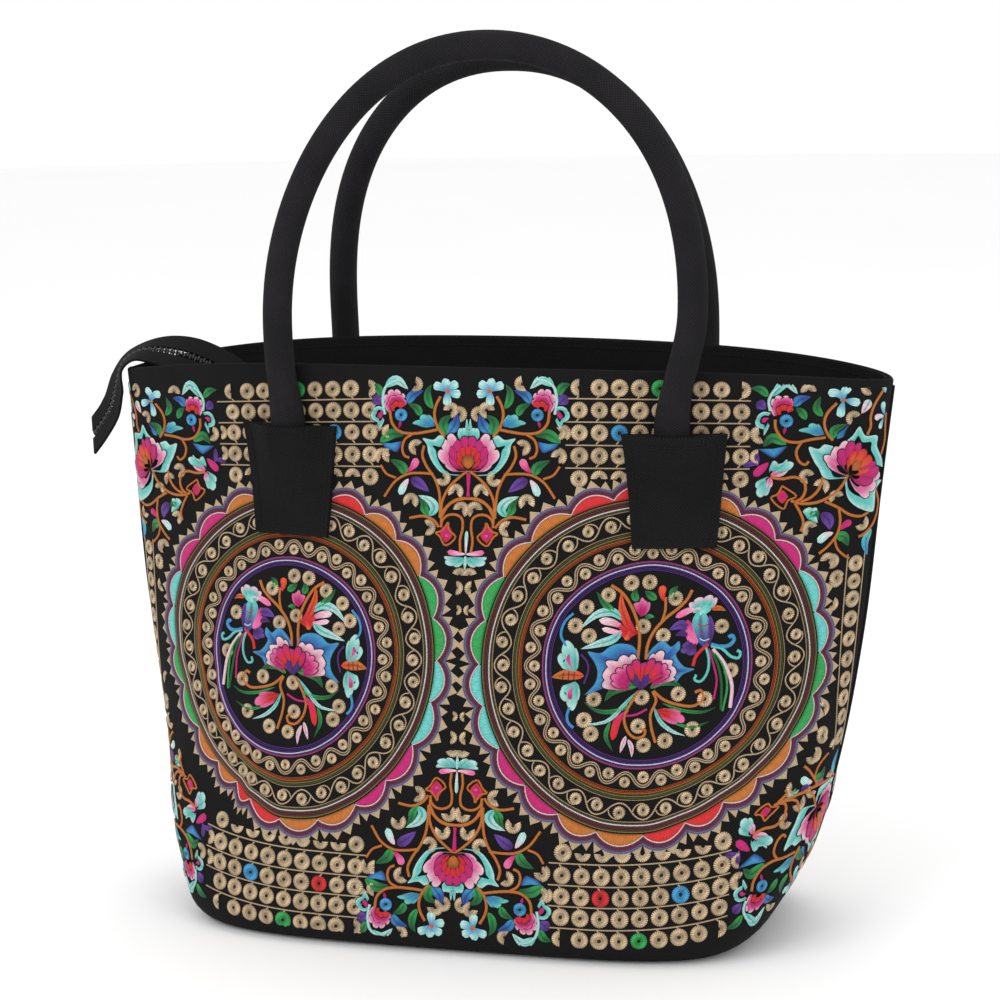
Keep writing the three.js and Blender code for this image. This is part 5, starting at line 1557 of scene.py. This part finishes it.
CORNER_ROSETTES = ((170.5, 140.4, 0, 190), (201.7, 142.7, 0, 300), (194.3, 126.2, 30, 210), (146.7, 116.2, 100, 200), (171, 95, 20, 260), (178.8, 89.7, 300, 230), (186.9, 83.6, 20, 200), (202.6, 69.2, 200, 230), (173.8, 67.7, 20, 230), (184.8, 50.3, 300, 240), (190.6, 40.9, 20, 260), (201, 48.2, 180, 180))


# Properties

class BagStageProperties(bpy.types.PropertyGroup):
    floor_colour: bpy.props.FloatVectorProperty(
        name="Floor colour", description="Colour of the pale floor",
        default=(0.965, 0.965, 0.965), size=3, min=0, max=1, subtype="COLOR")
    lens: bpy.props.FloatProperty(
        name="Lens", description="Focal length of the camera, in millimetres on a 36 mm sensor",
        default=100.65, min=20, unit="CAMERA")
    world_light: bpy.props.FloatProperty(
        name="Room light", description="Strength of the even light from all round",
        default=1.0, min=0)
    lamp_power: bpy.props.FloatProperty(
        name="Key lamp", description="Power of the soft lamp at the upper left, which the others follow",
        default=11.0, min=0, unit="POWER")


class BagClothProperties(bpy.types.PropertyGroup):
    canvas_colour: bpy.props.FloatVectorProperty(
        name="Canvas", description="Colour of the black canvas",
        default=(0.0068, 0.0064, 0.0068), size=3, min=0, max=1, subtype="COLOR")
    roll_colour: bpy.props.FloatVectorProperty(
        name="Handle cloth", description="Colour of the washed black cloth of the handles",
        default=(0.011, 0.01, 0.0112), size=3, min=0, max=1, subtype="COLOR")
    lint_colour: bpy.props.FloatVectorProperty(
        name="Lint", description="Colour of the lint that clings to the cloth",
        default=(0.055, 0.05, 0.052), size=3, min=0, max=1, subtype="COLOR")
    weave_pitch: bpy.props.FloatProperty(
        name="Weave pitch", description="Distance between two yarns of the canvas",
        default=0.0009, min=0.0002, max=0.004, unit="LENGTH", precision=5)
    stitch_length: bpy.props.FloatProperty(
        name="Stitch length", description="Length of one stitch of the seams",
        default=0.0032, min=0.001, max=0.01, unit="LENGTH", precision=5)


class BagThreadProperties(bpy.types.PropertyGroup):
    thread_width: bpy.props.FloatProperty(
        name="Thread width", description="Width of one embroidery thread",
        default=THREAD_WIDTH * MM, min=0.0002, max=0.002, unit="LENGTH", precision=5)
    thread_relief: bpy.props.FloatProperty(
        name="Thread relief", description="How far a thread's ridge stands over the gap beside it",
        default=0.00022, min=0, max=0.001, unit="LENGTH", precision=5)


class BagZipProperties(bpy.types.PropertyGroup):
    tooth_pitch: bpy.props.FloatProperty(
        name="Tooth pitch", description="Distance from one tooth of the zip to the next on the closed end",
        default=0.0016, min=0.0008, max=0.004, unit="LENGTH", precision=5)
    teeth_colour: bpy.props.FloatVectorProperty(
        name="Teeth", description="Colour of the moulded teeth",
        default=(0.008, 0.008, 0.009), size=3, min=0, max=1, subtype="COLOR")
    slider_colour: bpy.props.FloatVectorProperty(
        name="Slider", description="Colour of the slider's enamel",
        default=(0.02, 0.02, 0.022), size=3, min=0, max=1, subtype="COLOR")


# Operators

class SHOPPER_OT_stage(bpy.types.Operator):
    """Floor, soft lights and the camera"""

    bl_idname = "shopper.stage"
    bl_label = "Stage"

    def execute(self, context):
        props = context.scene.shopper_stage
        mesh = bpy.data.meshes.new("floor")
        angle = np.linspace(0, 2 * np.pi, 97)[:-1]
        rim = [(6 * math.cos(a), 6 * math.sin(a), 0) for a in angle]
        mesh.from_pydata(rim, [], [list(range(96))])
        mesh.materials.append(pale_floor(props.floor_colour))
        floor = bpy.data.objects.new("floor", mesh)
        context.scene.collection.objects.link(floor)
        world = bpy.data.worlds.new("room")
        world.use_nodes = True
        background = world.node_tree.nodes["Background"]
        background.inputs["Color"].default_value = (1, 1, 1, 1)
        background.inputs["Strength"].default_value = props.world_light
        context.scene.world = world
        camera_data = bpy.data.cameras.new("camera")
        camera_data.lens = props.lens
        camera_data.sensor_width = 36
        camera_data.shift_x = 0.00666
        camera_data.shift_y = 0.04335
        camera = bpy.data.objects.new("camera", camera_data)
        context.scene.collection.objects.link(camera)
        camera.matrix_world = camera_matrix(0.2608, 0.2040, 0.01537, (0.3724, -1.3953, 0.4988))
        context.scene.camera = camera
        context.scene.view_settings.view_transform = "Standard"
        for name, place, size, share in (("key", (-0.9, -1.5, 1.7), 1.4, 1.0),
                                         ("fill", (1.5, -1.1, 1.0), 1.6, 0.3),
                                         ("top", (0.1, 0.3, 2.2), 1.5, 0.6)):
            light_data = bpy.data.lights.new(name, "AREA")
            light_data.size = size
            light_data.energy = props.lamp_power * share
            light = bpy.data.objects.new(name, light_data)
            context.scene.collection.objects.link(light)
            ahead = unit(np.array((0, 0, 0.25)) - np.array(place))
            side = unit(np.cross(ahead, (0, 0, 1)))
            above = np.cross(side, ahead)
            light.matrix_world = Matrix(np.array([side, above, -ahead, place]).T.tolist() + [[0, 0, 0, 1]])
        return {"FINISHED"}


def black_canvas(name, props, colour=None, **values):
    """Woven cloth in the bag's own black."""
    return woven_cloth(name, tuple(colour or props.canvas_colour), tuple(props.lint_colour),
                       pitch=props.weave_pitch / MM, **values)


class SHOPPER_OT_walls(bpy.types.Operator):
    """Two canvas walls, their turned-in hems and the base board"""

    bl_idname = "shopper.walls"
    bl_label = "Walls"

    def execute(self, context):
        props = context.scene.shopper_cloth
        canvas = black_canvas("wall_canvas", props, lint=0.25, wear=0.3)
        facing = black_canvas("facing_canvas", props, lint=0.35, wear=0.6)
        board = black_canvas("base_canvas", props, lint=0.3, wear=0.4)
        seam = black_canvas("seam_thread", props, props.roll_colour, lint=0.0, wear=0.2, relief=0.0001)
        for face in SIDE:
            wall_piece(face, canvas)
            facing_piece(face, facing)
            facing_stitches(face, props.stitch_length / MM, seam)
        for end in (-1, 1):
            seam_piece(end, canvas)
        base_piece(board)
        return {"FINISHED"}


class SHOPPER_OT_embroidery(bpy.types.Operator):
    """Satin stitch embroidery on both walls"""

    bl_idname = "shopper.embroidery"
    bl_label = "Embroidery"

    def execute(self, context):
        props = context.scene.shopper_thread
        satin = satin_thread("satin_thread", props.thread_width / MM, props.thread_relief)
        for face in SIDE:
            lines = Threadwork(face, 11)
            roundel_rings(lines)
            lines.piece(f"{face}_ring_threads", satin)
            edge = Threadwork(face, 12)
            roundel_edge(edge)
            edge.piece(f"{face}_scallop_threads", satin)
            rosettes = Threadwork(face, 13)
            roundel_rosettes(rosettes)
            rosettes.piece(f"{face}_roundel_rosettes", satin)
            borders = Threadwork(face, 14)
            border_rows(borders)
            side_columns(borders)
            middle_column(borders)
            drawn_rosettes(borders, MIDDLE_ROSETTES)
            drawn_rosettes(borders, CORNER_ROSETTES)
            for heart in ((35.6, 125.9), (159.8, 124.5)):
                borders.rosettes(four_ways(heart), 6.8, colour="sky", level=0.6)
            borders.piece(f"{face}_border_rosettes", satin)
            flowers = Threadwork(face, 15)
            motif(flowers, ROUNDEL_MOTIF, two_roundels)
            flowers.piece(f"{face}_roundel_flowers", satin)
            sprays = Threadwork(face, 16)
            motif(sprays, MIDDLE_MOTIF, four_ways)
            motif(sprays, CORNER_MOTIF, four_ways)
            sprays.piece(f"{face}_spray_flowers", satin)
        return {"FINISHED"}


class SHOPPER_OT_handles(bpy.types.Operator):
    """Two rolled handles under four tabs"""

    bl_idname = "shopper.handles"
    bl_label = "Handles"

    def execute(self, context):
        props = context.scene.shopper_cloth
        roll = black_canvas("roll_canvas", props, props.roll_colour, lint=0.55, wear=0.8, relief=0.0003)
        tab = black_canvas("tab_canvas", props, lint=0.5, wear=0.6, relief=0.0003)
        seam = black_canvas("tab_thread", props, props.roll_colour, lint=0.0, wear=0.2, relief=0.0001)
        for face in SIDE:
            roll_piece(face, roll)
            for end in (-1, 1):
                tab_piece(face, end, tab, seam, props.stitch_length / MM)
        return {"FINISHED"}


class SHOPPER_OT_zip(bpy.types.Operator):
    """The zip with its tail over the left of the rim"""

    bl_idname = "shopper.zip"
    bl_label = "Zip"

    def execute(self, context):
        cloth = context.scene.shopper_cloth
        props = context.scene.shopper_zip
        tape = woven_cloth("zip_tape_weave", (0.0068, 0.0068, 0.0074), tuple(cloth.lint_colour),
                           pitch=0.5, lint=0.05, wear=0.3, relief=0.0001)
        teeth = hard_black("moulded_teeth", props.teeth_colour, (0.03, 0.03, 0.03), 0.58, 0.3, 900.0, 0.00004)
        enamel = hard_black("slider_enamel", props.slider_colour, (0.35, 0.34, 0.32), 0.35, 0.9, 600.0,
                            0.00003, metallic=0.3)
        pitch = props.tooth_pitch / MM
        for face in SIDE:
            zip_tape_piece(face, tape)
            open_teeth(face, pitch * 1.25, teeth)
        closed_teeth(pitch, teeth)
        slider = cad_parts["zip_slider"]
        for place in slider.material_slots:
            place.material = enamel
        if not slider.material_slots:
            slider.data.materials.append(enamel)
        return {"FINISHED"}


class SHOPPER_PT_panel(bpy.types.Panel):
    """Pieces of the bag"""

    bl_idname = "SHOPPER_PT_panel"
    bl_label = "Shopper Bag"
    bl_space_type = "VIEW_3D"
    bl_region_type = "UI"
    bl_category = "Shopper Bag"

    def draw(self, context):
        scene = context.scene
        for group in (scene.shopper_stage, scene.shopper_cloth, scene.shopper_thread, scene.shopper_zip):
            for name in group.bl_rna.properties.keys():
                if name not in ("rna_type", "name"):
                    self.layout.prop(group, name)
        for step in STEPS:
            self.layout.operator(step)


STEPS = ("shopper.stage", "shopper.walls", "shopper.embroidery", "shopper.handles", "shopper.zip")
CLASSES = (BagStageProperties, BagClothProperties, BagThreadProperties, BagZipProperties,
           SHOPPER_OT_stage, SHOPPER_OT_walls, SHOPPER_OT_embroidery, SHOPPER_OT_handles,
           SHOPPER_OT_zip, SHOPPER_PT_panel)


def register():
    for item in CLASSES:
        bpy.utils.register_class(item)
    bpy.types.Scene.shopper_stage = bpy.props.PointerProperty(type=BagStageProperties)
    bpy.types.Scene.shopper_cloth = bpy.props.PointerProperty(type=BagClothProperties)
    bpy.types.Scene.shopper_thread = bpy.props.PointerProperty(type=BagThreadProperties)
    bpy.types.Scene.shopper_zip = bpy.props.PointerProperty(type=BagZipProperties)


def unregister():
    del bpy.types.Scene.shopper_zip
    del bpy.types.Scene.shopper_thread
    del bpy.types.Scene.shopper_cloth
    del bpy.types.Scene.shopper_stage
    for item in reversed(CLASSES):
        bpy.utils.unregister_class(item)


def main():
    register()
    bpy.ops.shopper.stage()
    bpy.ops.shopper.walls()
    bpy.ops.shopper.embroidery()
    bpy.ops.shopper.handles()
    bpy.ops.shopper.zip()
    bpy.context.view_layer.update()


if __name__ == "__main__":
    main()
